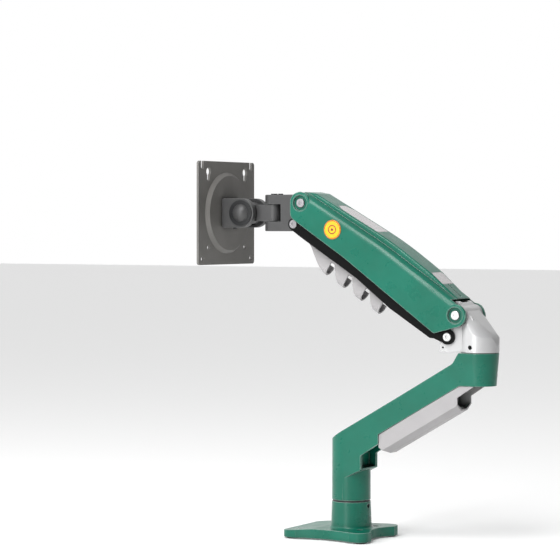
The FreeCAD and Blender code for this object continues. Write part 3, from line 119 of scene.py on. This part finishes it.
@dataclass(frozen=True)
class Finish:
    """One surface finish, with its relief and colour drift worked out from real sizes in mm."""

    name: str
    colour: str
    drift: str
    roughness: float
    metallic: float = 0.0
    coat: float = 0.0
    grain: Grain = Grain.SPRAYED
    grain_mm: float = 1.2
    relief_mm: float = 0.02
    edge_mm: float = 0.5
    # how far edges are painted towards pale white, a painted highlight
    edge_highlight: float = 0.10
    # reach and depth of the painted shade in joints and recesses
    crease_mm: float = 9.0
    crease: float = 0.55
    shine: float = 0.5
    centre: tuple[float, float, float] = (0.0, 0.0, 0.0)
    axis: Axis = Axis.Y

    def relief(self, tree: bpy.types.NodeTree, place: bpy.types.NodeSocket) -> bpy.types.NodeSocket:
        """Give the height pattern of the finish's grain.

        Args:
            tree: the material's node tree.
            place: object coordinates.

        Returns:
            The height socket, from nought to one.
        """
        if self.grain is Grain.TURNED:
            centred = add_node(tree, "ShaderNodeMapping",
                               {"Location": tuple(-c for c in self.centre)}, {"Vector": place})
            rings = add_node(tree, "ShaderNodeTexWave",
                             {"wave_type": "RINGS", "rings_direction": self.axis.name,
                              "Scale": 1.0 / (self.grain_mm * MM * 3.2), "Distortion": 0.6,
                              "Detail": 1.0, "Detail Scale": 2.0},
                             {"Vector": centred.outputs["Vector"]})
            return rings.outputs["Fac"]
        detail = 4.0 if self.grain is Grain.SPARKED else 1.5
        noise = add_node(tree, "ShaderNodeTexNoise",
                         {"Scale": 1.0 / (self.grain_mm * MM), "Detail": detail, "Roughness": 0.6},
                         {"Vector": place})
        return noise.outputs["Fac"]

    def material(self) -> bpy.types.Material:
        """Build the material: colour drift, a painted highlight on edges, painted shade in recesses, uneven
        gloss and relief on softened edges.
        """
        made = bpy.data.materials.new(self.name)
        made.use_nodes = True
        tree = made.node_tree
        tree.nodes.clear()
        place = add_node(tree, "ShaderNodeTexCoord").outputs["Object"]
        cloud = add_node(tree, "ShaderNodeTexNoise", {"Scale": 22.0, "Detail": 3.0, "Roughness": 0.55},
                         {"Vector": place})
        spread = add_node(tree, "ShaderNodeMapRange", {"From Min": 0.35, "From Max": 0.65},
                          {"Value": cloud.outputs["Fac"]})
        body = add_node(tree, "ShaderNodeMix",
                        {"data_type": "RGBA", 6: linear(self.colour), 7: linear(self.drift)},
                        {0: spread.outputs["Result"]})
        # an edge shows where the rounded normal leaves the true one; there the colour is painted pale, a
        # painted highlight
        soft = add_node(tree, "ShaderNodeBevel", {"samples": 6, "Radius": self.edge_mm * MM})
        true = add_node(tree, "ShaderNodeNewGeometry")
        turn = add_node(tree, "ShaderNodeVectorMath", {"operation": "DOT_PRODUCT"},
                        {0: soft.outputs["Normal"], 1: true.outputs["Normal"]})
        edge = add_node(tree, "ShaderNodeMapRange",
                        {"From Min": 0.995, "From Max": 0.90, "To Max": self.edge_highlight},
                        {"Value": turn.outputs["Value"]})
        highlit_edges = add_node(tree, "ShaderNodeMix", {"data_type": "RGBA", 7: linear("#E8EFEC")},
                        {0: edge.outputs["Result"], 6: body.outputs[2]})
        # painted shade: darker in joints and recesses
        nook = add_node(tree, "ShaderNodeAmbientOcclusion", {"samples": 8, "Distance": self.crease_mm * MM})
        shade = add_node(tree, "ShaderNodeMapRange",
                         {"From Min": 0.25, "From Max": 0.85, "To Min": 1 - self.crease},
                         {"Value": nook.outputs["AO"]})
        shaded_colour = add_node(tree, "ShaderNodeVectorMath", {"operation": "SCALE"},
                           {0: highlit_edges.outputs[2], "Scale": shade.outputs["Result"]})
        smear = add_node(tree, "ShaderNodeTexNoise", {"Scale": 65.0, "Detail": 4.0, "Roughness": 0.6},
                         {"Vector": place})
        gloss = add_node(tree, "ShaderNodeMapRange",
                         {"From Min": 0.3, "From Max": 0.7, "To Min": self.roughness - 0.05,
                          "To Max": self.roughness + 0.06}, {"Value": smear.outputs["Fac"]})
        bump = add_node(tree, "ShaderNodeBump", {"Strength": 0.5, "Distance": self.relief_mm * MM},
                        {"Height": self.relief(tree, place), "Normal": soft.outputs["Normal"]})
        shader = add_node(tree, "ShaderNodeBsdfPrincipled",
                          {"Metallic": self.metallic, "Coat Weight": self.coat, "Coat Roughness": 0.18,
                           "Specular IOR Level": self.shine},
                          {"Base Color": shaded_colour.outputs["Vector"], "Roughness": gloss.outputs["Result"],
                           "Normal": bump.outputs["Normal"]})
        add_node(tree, "ShaderNodeOutputMaterial", None, {"Surface": shader.outputs["BSDF"]})
        return made


@dataclass
class Finishes:
    """All finishes of the arm, each built once."""

    made: dict[str, bpy.types.Material] = field(default_factory=dict)

    def get(self, finish: Finish) -> bpy.types.Material:
        """Return the finish's material, built on first use."""
        if finish.name not in self.made:
            self.made[finish.name] = finish.material()
        return self.made[finish.name]


# Powder coat on an aluminium casting: even colour, soft peel, broad satin highlight.
GREEN_COAT = Finish("green_powder_coat", "#055E4B", "#086653", 0.30, coat=0.06, shine=0.34, grain_mm=1.4,
                    relief_mm=0.012, edge_mm=1.0, edge_highlight=0.32)
# Silver-grey powder coat: the same skin with fine metal flake, so a little metallic.
GREY_COAT = Finish("silver_grey_powder_coat", "#B9B9BA", "#C0C0C0", 0.36, metallic=0.25, coat=0.15,
                   grain_mm=1.1, relief_mm=0.012, edge_mm=0.8, edge_highlight=0.15)
# Dark grey powder coat on the head's castings: matt, with a soft highlight.
HEAD_COAT = Finish("dark_grey_powder_coat", "#414142", "#474747", 0.42, metallic=0.10, grain_mm=1.0,
                   relief_mm=0.015, edge_mm=0.7, edge_highlight=0.12)
# Textured coat on pressed steel sheet: warmer and flatter than the castings.
PLATE_COAT = Finish("warm_grey_sheet_coat", "#6B6966", "#716F6C", 0.46, metallic=0.1, grain_mm=0.9,
                    relief_mm=0.02, edge_mm=0.5, edge_highlight=0.14)
# Black coat on the pressed link: nearly no light comes back.
BLACK_COAT = Finish("black_link_coat", "#030304", "#040505", 0.55, grain_mm=0.9, relief_mm=0.015,
                    edge_mm=0.5, edge_highlight=0.02, shine=0.12)
# Spark-textured ABS of the cover and the cable comb: pale, dull, faintly grainy, with deep painted shade in
# its hollows.
PALE_ABS = Finish("pale_grey_abs", "#9A9899", "#A19FA0", 0.50, grain=Grain.SPARKED, grain_mm=0.5,
                  crease_mm=14.0, crease=0.85,
                  relief_mm=0.03, edge_mm=0.5, edge_highlight=0.12)
# Polished ABS of the two inlays: the same plastic with a glossier face.
INLAY_ABS = Finish("polished_inlay_abs", "#B4B0B1", "#BAB6B7", 0.26, coat=0.3, grain=Grain.ROLLED,
                   grain_mm=6.0, relief_mm=0.01, edge_mm=0.3, edge_highlight=0.10)
# Acetal of the bushes and slip rings: black, waxy.
ACETAL = Finish("black_acetal", "#141517", "#1A1B1D", 0.38, grain=Grain.SPARKED, grain_mm=0.6,
                relief_mm=0.01, edge_mm=0.3, edge_highlight=0.05)
# Moulded rubber of the desk pads: dead black and rough.
PAD_RUBBER = Finish("moulded_rubber", "#151515", "#1C1C1B", 0.75, grain=Grain.SPARKED, grain_mm=0.7,
                    relief_mm=0.05, edge_mm=0.4, edge_highlight=0.05)
# Black-oxide steel of the small screws: dark metal with an oily sheen.
BLACK_OXIDE = Finish("black_oxide_steel", "#2C2D2F", "#353638", 0.38, metallic=0.9,
                     grain=Grain.SPARKED, grain_mm=0.8, relief_mm=0.01, edge_mm=0.25, edge_highlight=0.2)
# Ground steel of posts and the piston rod: bright metal.
GROUND_STEEL = Finish("ground_steel", "#B9B7B8", "#C4C2C3", 0.30, metallic=1.0, grain=Grain.ROLLED,
                      grain_mm=0.6, relief_mm=0.008, edge_mm=0.3, edge_highlight=0.2)
# Stove enamel of the badge: deep yellow under a clear, domed gloss.
ENAMEL = Finish("yellow_enamel", "#FDB10C", "#FDB718", 0.16, coat=0.6, grain=Grain.ROLLED,
                grain_mm=5.0, relief_mm=0.01, edge_mm=0.3, edge_highlight=0.1)
ENAMEL_RIM = Finish("amber_enamel_rim", "#C9740A", "#D07C0E", 0.22, coat=0.5, grain=Grain.ROLLED,
                    grain_mm=5.0, relief_mm=0.01, edge_mm=0.2, edge_highlight=0.1)
ENAMEL_MARK = Finish("maroon_enamel", "#6E1712", "#781B15", 0.22, coat=0.5, grain=Grain.ROLLED,
                     grain_mm=5.0, relief_mm=0.01, edge_mm=0.2, edge_highlight=0.05)


def turned_pin(name: str, joint: str, colour: str) -> Finish:
    """Bright turned steel with lathe rings round a joint's axis.

    Args:
        name: the material's name.
        joint: the joint whose axis the pin lies on.
        colour: hex colour of the metal.

    Returns:
        The finish.
    """
    at = JOINT_AT[joint]
    return Finish(name, colour, colour, 0.33, metallic=0.85, grain=Grain.TURNED, grain_mm=0.45,
                  relief_mm=0.02, edge_mm=0.3, edge_highlight=0.25, centre=(at[0], at[1], at[2]))


# ---- surfaces ---------------------------------------------------------------------------
def skin(name: str, points: np.ndarray, closed_u: bool, closed_v: bool, body: str,
         material: bpy.types.Material, sharp_deg: float = 35.0) -> bpy.types.Object:
    """Put a grid of points into a mesh and let it ride on a body.

    Cell (i, j) of the grid is the quad of points (i, j), (i+1, j), (i+1, j+1), (i, j+1); a closed
    direction joins its last row to its first. Points that coincide, as at a pole, are merged.

    Args:
        name: the piece's name.
        points: array of shape (rows, columns, 3), in metres.
        closed_u: whether the rows run round.
        closed_v: whether the columns run round.
        body: the CAD body that the piece rides on.
        material: the piece's material.
        sharp_deg: edges turning more than this stay sharp.

    Returns:
        The new object.
    """
    rows, columns = points.shape[:2]
    i, j = np.meshgrid(np.arange(rows if closed_u else rows - 1),
                       np.arange(columns if closed_v else columns - 1), indexing="ij")
    i2, j2 = (i + 1) % rows, (j + 1) % columns
    quads = np.stack([i * columns + j, i2 * columns + j, i2 * columns + j2, i * columns + j2], axis=-1)
    mesh = bpy.data.meshes.new(name)
    mesh.from_pydata(points.reshape(-1, 3), [], quads.reshape(-1, 4).tolist())
    work = bmesh.new()
    work.from_mesh(mesh)
    bmesh.ops.remove_doubles(work, verts=work.verts, dist=1e-7)
    bmesh.ops.dissolve_degenerate(work, edges=work.edges, dist=1e-8)
    bmesh.ops.recalc_face_normals(work, faces=work.faces)
    work.to_mesh(mesh)
    work.free()
    mesh.shade_smooth()
    mesh.set_sharp_from_angle(angle=math.radians(sharp_deg))
    mesh.materials.append(material)
    piece = bpy.data.objects.new(name, mesh)
    bpy.context.scene.collection.objects.link(piece)
    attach(piece, body)
    LOG.info("piece %s: %d faces on %s", name, len(mesh.polygons), body)
    return piece


def spun(profile: np.ndarray, centre: np.ndarray, along: np.ndarray, steps: int = 96) -> np.ndarray:
    """Carry a profile round an axis.

    Point = centre + height * along + radius * (p cos t + q sin t), where p and q stand square to the
    axis and t runs once round.

    Args:
        profile: rows of (radius, height) in metres.
        centre: a point on the axis.
        along: the axis, of any length.
        steps: how many turns of t.

    Returns:
        Grid of shape (profile rows, steps, 3).
    """
    axis = along / np.linalg.norm(along)
    helper = np.array([0.0, 0.0, 1.0]) if abs(axis[2]) < 0.9 else np.array([1.0, 0.0, 0.0])
    p = np.cross(axis, helper)
    p = p / np.linalg.norm(p)
    q = np.cross(axis, p)
    t = np.linspace(0, 2 * np.pi, steps, endpoint=False)
    ring = np.cos(t)[:, None] * p + np.sin(t)[:, None] * q
    return (centre + profile[:, 1][:, None, None] * axis + profile[:, 0][:, None, None] * ring[None])


def bead(radius: float, thick: float, proud: float, steps: int = 20) -> np.ndarray:
    """Closed profile of a round bead: an ellipse at a radius from the axis.

    Args:
        radius: from the axis to the bead's middle.
        thick: full width of the bead.
        proud: half its height.
        steps: points round the bead.

    Returns:
        Rows of (radius, height).
    """
    t = np.linspace(0, 2 * np.pi, steps, endpoint=False)
    return np.stack([radius + thick / 2 * np.cos(t), proud * np.sin(t)], axis=1)


def threaded(radius: float, pitch: float, depth: float, length: float, centre: np.ndarray,
             along: np.ndarray) -> np.ndarray:
    """Screw thread: the radius rises and falls as a triangle wave of height / pitch - turn.

    Args:
        radius: over the crests.
        pitch: from crest to crest.
        depth: crest to root.
        length: along the axis.
        centre: start of the thread on its axis.
        along: the axis.

    Returns:
        Grid of points with closed ends.
    """
    steps = 48
    rows = int(length / pitch * 10)
    height = np.linspace(0, length, rows)
    grid = spun(np.stack([np.ones(rows), height], axis=1), np.zeros(3), along, steps)
    axis = along / np.linalg.norm(along)
    spine = height[:, None, None] * axis
    out = grid - spine
    turn = np.linspace(0, 1, steps, endpoint=False)[None, :]
    wave = np.abs(((height[:, None] / pitch - turn) % 1.0) * 2 - 1)
    reach = radius - depth * wave
    reach[0] = 0.0
    reach[-1] = 0.0
    spine[0] = spine[1]
    spine[-1] = spine[-2]
    return centre + spine + out * reach[:, :, None]


def paint(node: str, material: bpy.types.Material) -> None:
    """Give a CAD node its finish.

    Args:
        node: the node's name.
        material: the material that its whole mesh takes.
    """
    mesh = frame["nodes"][node].data
    mesh.materials.clear()
    mesh.materials.append(material)


def box_of(node: str) -> tuple[np.ndarray, np.ndarray]:
    """Find the box round a CAD node.

    Args:
        node: the node's name.

    Returns:
        The lowest and the highest corner.
    """
    low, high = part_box(node)
    return np.array(low), np.array(high)


# ---- sub-assemblies ---------------------------------------------------------------------
@dataclass
class Base:
    """Foot plate, column, pads and post."""

    finishes: Finishes
    groove_pitch: float = 2.2 * MM
    groove_deep: float = 0.35 * MM
    pad_radius: float = 7.0 * MM
    pad_gap: float = 0.1 * MM

    def dress(self) -> None:
        """Give the CAD nodes their finishes."""
        paint("base_casting", self.finishes.get(GREEN_COAT))
        paint("base_post", self.finishes.get(GROUND_STEEL))
        paint("base_lock_screw", self.finishes.get(BLACK_OXIDE))
        paint("base_slip_ring", self.finishes.get(ACETAL))
        paint("base_pads", self.finishes.get(PAD_RUBBER))

    def build(self) -> None:
        """Grooved pads: concentric grooves, radius by radius a cosine wave, on each pad's face."""
        low, high = box_of("base_pads")
        radius = self.pad_radius
        top = high[2] - low[2] - self.pad_gap
        spots = [(x, y) for x in (low[0] + radius, high[0] - radius)
                 for y in (low[1] + radius, high[1] - radius)]
        r = np.linspace(0, radius, 60)
        wave = self.groove_deep * 0.5 * (1 - np.cos(2 * np.pi * r / self.groove_pitch))
        under = np.stack([r, wave], axis=1)
        side = np.array([[radius, top], [0.0, top]])
        profile = np.concatenate([under, side])
        pads = [spun(profile, np.array([x, y, low[2]]), np.array(Axis.Z.value), 48) for x, y in spots]
        for number, points in enumerate(pads, start=1):
            pad = skin(f"grooved_pad_{number}", points, False, True, "base",
                       self.finishes.get(PAD_RUBBER))
            if number == 1:
                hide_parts("base_pads")


@dataclass
class LowerArm:
    """Green U-section casting with its cable cover."""

    finishes: Finishes

    def dress(self) -> None:
        """Give the CAD nodes their finishes."""
        paint("lower_arm", self.finishes.get(GREEN_COAT))
        paint("lower_arm_bush", self.finishes.get(ACETAL))
        paint("elbow_bush", self.finishes.get(ACETAL))
        paint("elbow_slip_washer", self.finishes.get(ACETAL))
        paint("cable_cover", self.finishes.get(PALE_ABS))
        paint("cable_cover_clips", self.finishes.get(PALE_ABS))


@dataclass
class Elbow:
    """Silver elbow casting, its post and the spring's slider."""

    finishes: Finishes

    def dress(self) -> None:
        """Give the CAD nodes their finishes."""
        paint("elbow_housing", self.finishes.get(GREY_COAT))
        for node in ("elbow_post", "slider_pin"):
            paint(node, self.finishes.get(GROUND_STEEL))
        for node in ("elbow_retainer", "elbow_set_screw", "tension_screw", "tension_slider"):
            paint(node, self.finishes.get(BLACK_OXIDE))
        paint("main_pivot_bushes", self.finishes.get(ACETAL))
        paint("elbow_link_pins", self.finishes.get(turned_pin("turned_link_stub", "link_lift", "#CFCFCF")))


@dataclass
class UpperArm:
    """Green shell with its bosses, inlays, pins and badge."""

    finishes: Finishes
    lip_radius: float = 9.0 * MM
    lip_thick: float = 1.3 * MM
    lip_proud: float = 0.35 * MM
    dome_share: float = 0.86
    ring_share: float = 0.42
    dot_share: float = 0.14

    def dress(self) -> None:
        """Give the CAD nodes their finishes."""
        paint("upper_arm_shell", self.finishes.get(GREEN_COAT))
        paint("front_inset", self.finishes.get(INLAY_ABS))
        paint("rear_inset", self.finishes.get(INLAY_ABS))
        paint("spring_pin", self.finishes.get(GROUND_STEEL))
        paint("main_pivot_pin", self.finishes.get(turned_pin("turned_main_pin", "arm_lift", "#DADADA")))
        paint("head_pivot_pin", self.finishes.get(turned_pin("turned_head_pin", "head_level", "#A9A6AA")))

    def build(self) -> None:
        """Raised lips round the bosses, and the domed badge."""
        low, high = box_of("upper_arm_shell")
        for name, joint in (("elbow", "arm_lift"), ("head", "head_level")):
            for side, y in (("near", low[1]), ("far", high[1])):
                at = JOINT_AT[joint].copy()
                at[1] = y
                points = spun(bead(self.lip_radius, self.lip_thick, self.lip_proud), at,
                              np.array(Axis.Y.value))
                skin(f"{name}_boss_lip_{side}", points, True, True, "upper_arm",
                     self.finishes.get(GREEN_COAT))
        self.build_badge()

    def build_badge(self) -> None:
        """Badge: a dome of height t (1.25 - 0.45 (r/R)^2) in a rolled rim, with a plain ring and dot."""
        low, high = box_of("badge")
        radius = (high[0] - low[0]) / 2
        centre = (low + high) / 2
        centre[1] = high[1]
        outward = np.array([0.0, -1.0, 0.0])
        thick = high[1] - low[1]
        r = np.linspace(0, self.dome_share, 24) * radius
        dome = np.stack([r, thick * (1.25 - 0.45 * (r / radius) ** 2)], axis=1)
        wall = np.array([[self.dome_share * radius, 0.0], [0.0, 0.0]])
        face = skin("badge_dome", spun(np.concatenate([dome, wall]), centre, outward), False, True,
                    "upper_arm", self.finishes.get(ENAMEL))
        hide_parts("badge")
        t = np.linspace(0, np.pi, 14)
        rim = np.stack([radius * (0.93 - 0.07 * np.cos(t)), thick * 1.05 * np.sin(t)], axis=1)
        skin("badge_rim", spun(rim, centre, outward), True, True, "upper_arm",
             self.finishes.get(ENAMEL_RIM))
        top = centre + outward * thick * 1.2
        ring = bead(self.ring_share * radius, 0.10 * radius, 0.12 * MM)
        skin("badge_ring", spun(ring, top, outward), True, True, "upper_arm",
             self.finishes.get(ENAMEL_MARK))
        dot = np.linspace(0, np.pi / 2, 10)
        cap = np.stack([self.dot_share * radius * np.sin(dot), 0.16 * MM * np.cos(dot)], axis=1)
        base = np.array([[0.0, -0.1 * MM]])
        skin("badge_dot", spun(np.concatenate([cap, base]), top, outward), False, True, "upper_arm",
             self.finishes.get(ENAMEL_MARK))


@dataclass
class Link:
    """Black channel under the arm, with the pale cable comb."""

    finishes: Finishes

    def dress(self) -> None:
        """Give the CAD nodes their finishes."""
        paint("lower_link", self.finishes.get(BLACK_COAT))
        paint("cable_clip", self.finishes.get(PALE_ABS))
        paint("cable_clip_screws", self.finishes.get(BLACK_OXIDE))


@dataclass
class GasSpring:
    """Black tube and bright rod, with the collar where the rod goes in."""

    finishes: Finishes
    collar_r: float = 8.0 * MM
    collar_long: float = 5.0 * MM
    collar_bore_r: float = 4.3 * MM
    groove_deep: float = 0.25 * MM
    tube_mouth: float = 114.0 * MM

    def dress(self) -> None:
        """Give the CAD nodes their finishes."""
        paint("gas_cylinder", self.finishes.get(BLACK_COAT))
        paint("gas_rod", self.finishes.get(GROUND_STEEL))

    def build(self) -> None:
        """Rolled collar at the tube's mouth, with three shallow grooves, a sine along its length."""
        eye = JOINT_AT["spring_swing"]
        along = JOINT_AT["rod_stroke"] - eye
        along = along / np.linalg.norm(along)
        mouth = eye + along * self.tube_mouth
        h = np.linspace(0, 1, 40)
        groove = self.groove_deep * (1 - np.cos(6 * np.pi * h)) / 2
        r = self.collar_r * (1 - 0.5 * h ** 6) - groove
        inner = np.array([[self.collar_bore_r, self.collar_long], [self.collar_bore_r, 0.0]])
        outer = np.stack([r, h * self.collar_long], axis=1)
        skin("spring_collar", spun(np.concatenate([outer, inner]), mouth, along), True, True,
             "spring_tube", self.finishes.get(ACETAL))


@dataclass
class Head:
    """Dark fork, pan knuckle and tilt clevis."""

    finishes: Finishes
    thread_r: float = 4.95 * MM
    thread_pitch: float = 1.5 * MM
    thread_deep: float = 0.8 * MM
    thread_in_nut: float = 0.5 * MM
    thread_past_end: float = 1.2 * MM

    def dress(self) -> None:
        """Give the CAD nodes their finishes."""
        coat = self.finishes.get(HEAD_COAT)
        for node in ("head_bracket", "tilt_knuckle", "tilt_housing", "tilt_bolt"):
            paint(node, coat)
        for node in ("pan_pin", "pan_clamp_screw", "tilt_nut", "housing_set_screw"):
            paint(node, self.finishes.get(BLACK_OXIDE))
        for node in ("pan_washers", "tilt_washers", "head_pivot_bushes"):
            paint(node, self.finishes.get(ACETAL))
        pin = turned_pin("turned_head_link_pin", "head_level", "#A9A6AA")
        paint("head_link_pin", self.finishes.get(pin))

    def build(self) -> None:
        """Thread on the tilt bolt's end, beyond the nut."""
        _, bolt_end = box_of("tilt_bolt")
        _, nut_face = box_of("tilt_nut")
        at = JOINT_AT["head_tilt"].copy()
        at[1] = nut_face[1] - self.thread_in_nut
        points = threaded(self.thread_r, self.thread_pitch, self.thread_deep,
                          bolt_end[1] + self.thread_past_end - at[1], at, np.array(Axis.Y.value))
        skin("tilt_bolt_thread", points, False, True, "tilt_head", self.finishes.get(BLACK_OXIDE), 20.0)


@dataclass
class Plate:
    """Pressed VESA plate on its spindle."""

    finishes: Finishes

    def dress(self) -> None:
        """Give the CAD nodes their finishes."""
        paint("vesa_plate", self.finishes.get(PLATE_COAT))
        paint("plate_spindle", self.finishes.get(BLACK_OXIDE))
        paint("plate_washer", self.finishes.get(ACETAL))


# ---- studio -----------------------------------------------------------------------------
@dataclass
class Studio:
    """Pale floor, soft lights and the camera."""

    azimuth_deg: float = 30.8
    distance: float = 2.3621
    offset_right: float = 0.0761
    eye_height: float = 0.337
    lens_mm: float = 142.5
    shift_y: float = -0.105
    floor_half: float = 12.0
    floor_glow: float = 0.12
    room_light: float = 1.0
    flag_light: float = 0.08
    flag_share: float = 0.62
    flag_from: float = -0.05
    flag_full: float = 0.55

    def axes(self) -> tuple[Vector, Vector]:
        """The level directions from the object to the camera, and to the camera's right."""
        a = math.radians(self.azimuth_deg)
        return Vector((math.sin(a), -math.cos(a), 0)), Vector((math.cos(a), math.sin(a), 0))

    def floor(self) -> None:
        """Large pale floor, a square in the plane of the desk."""
        half = self.floor_half
        mesh = bpy.data.meshes.new("floor")
        mesh.from_pydata([(-half, -half, 0), (half, -half, 0), (half, half, 0), (-half, half, 0)], [],
                         [(0, 1, 2, 3)])
        pale = bpy.data.materials.new("matt_white_floor")
        pale.use_nodes = True
        shader = pale.node_tree.nodes["Principled BSDF"]
        shader.inputs["Base Color"].default_value = linear("#F4F4F4")
        shader.inputs["Roughness"].default_value = 0.9
        shader.inputs["Emission Color"].default_value = (1.0, 1.0, 1.0, 1.0)
        shader.inputs["Emission Strength"].default_value = self.floor_glow
        mesh.materials.append(pale)
        ground = bpy.data.objects.new("floor", mesh)
        bpy.context.scene.collection.objects.link(ground)

    def light(self, name: str, turn_deg: float, rise_deg: float, away: float, size: tuple[float, float],
              watts: float) -> None:
        """Hang one soft rectangular light.

        Args:
            name: the light's name.
            turn_deg: degrees to the right of the camera, seen from the object.
            rise_deg: degrees above level.
            away: distance from the aim point.
            size: width and height.
            watts: power.
        """
        aim = Vector((0.02, 0.0, 0.22))
        a = math.radians(self.azimuth_deg + turn_deg)
        e = math.radians(rise_deg)
        way = Vector((math.sin(a) * math.cos(e), -math.cos(a) * math.cos(e), math.sin(e)))
        lamp = bpy.data.lights.new(name, "AREA")
        lamp.shape = "RECTANGLE"
        lamp.size, lamp.size_y = size
        lamp.energy = watts
        holder = bpy.data.objects.new(name, lamp)
        holder.location = aim + way * away
        holder.rotation_euler = (-way).to_track_quat("-Z", "Y").to_euler()
        bpy.context.scene.collection.objects.link(holder)

    def room(self) -> None:
        """White room with a dark flag to the right and front, which gives round pieces their dark sides.

        Strength falls from room_light to flag_light as the way looked along nears the flag's middle.
        """
        world = bpy.data.worlds.new("white_room")
        world.use_nodes = True
        tree = world.node_tree
        way = add_node(tree, "ShaderNodeTexCoord").outputs["Generated"]
        back, right = self.axes()
        middle = right * self.flag_share + back * (1 - self.flag_share)
        side = add_node(tree, "ShaderNodeVectorMath",
                        {"operation": "DOT_PRODUCT", 1: tuple(middle.normalized())}, {0: way})
        light = add_node(tree, "ShaderNodeMapRange",
                         {"From Min": self.flag_from, "From Max": self.flag_full, "To Min": self.room_light,
                          "To Max": self.flag_light}, {"Value": side.outputs["Value"]})
        tree.links.new(light.outputs["Result"], tree.nodes["Background"].inputs["Strength"])
        tree.nodes["Background"].inputs["Color"].default_value = (1.0, 1.0, 1.0, 1.0)
        bpy.context.scene.world = world

    def build(self) -> None:
        """Floor, world, lights and camera."""
        self.floor()
        self.room()
        bpy.context.scene.view_settings.view_transform = "Standard"
        self.light("key_strip", -34, 14, 1.7, (0.14, 1.6), 14)
        self.light("top_softbox", -30, 52, 1.5, (0.7, 0.7), 13)
        self.light("left_fill", -85, 18, 2.0, (1.0, 1.4), 5)
        back, right = self.axes()
        camera = bpy.data.cameras.new("camera")
        camera.lens = self.lens_mm
        camera.sensor_width = 36.0
        camera.shift_y = self.shift_y
        camera.clip_end = 60.0
        seat = bpy.data.objects.new("camera", camera)
        seat.location = back * self.distance - right * self.offset_right + Vector((0, 0, self.eye_height))
        seat.rotation_euler = (-back).to_track_quat("-Z", "Y").to_euler()
        bpy.context.scene.collection.objects.link(seat)
        bpy.context.scene.camera = seat


def main() -> None:
    """Build and dress every sub-assembly, then the studio."""
    logging.basicConfig(level=logging.INFO, format="%(name)s %(message)s")
    finishes = Finishes()
    parts = [Base(finishes), LowerArm(finishes), Elbow(finishes), UpperArm(finishes), Link(finishes),
             GasSpring(finishes), Head(finishes), Plate(finishes)]
    for part in parts:
        part.dress()
        if hasattr(part, "build"):
            part.build()
        LOG.info("dressed %s", type(part).__name__)
    Studio().build()


if __name__ == "__main__":
    main()
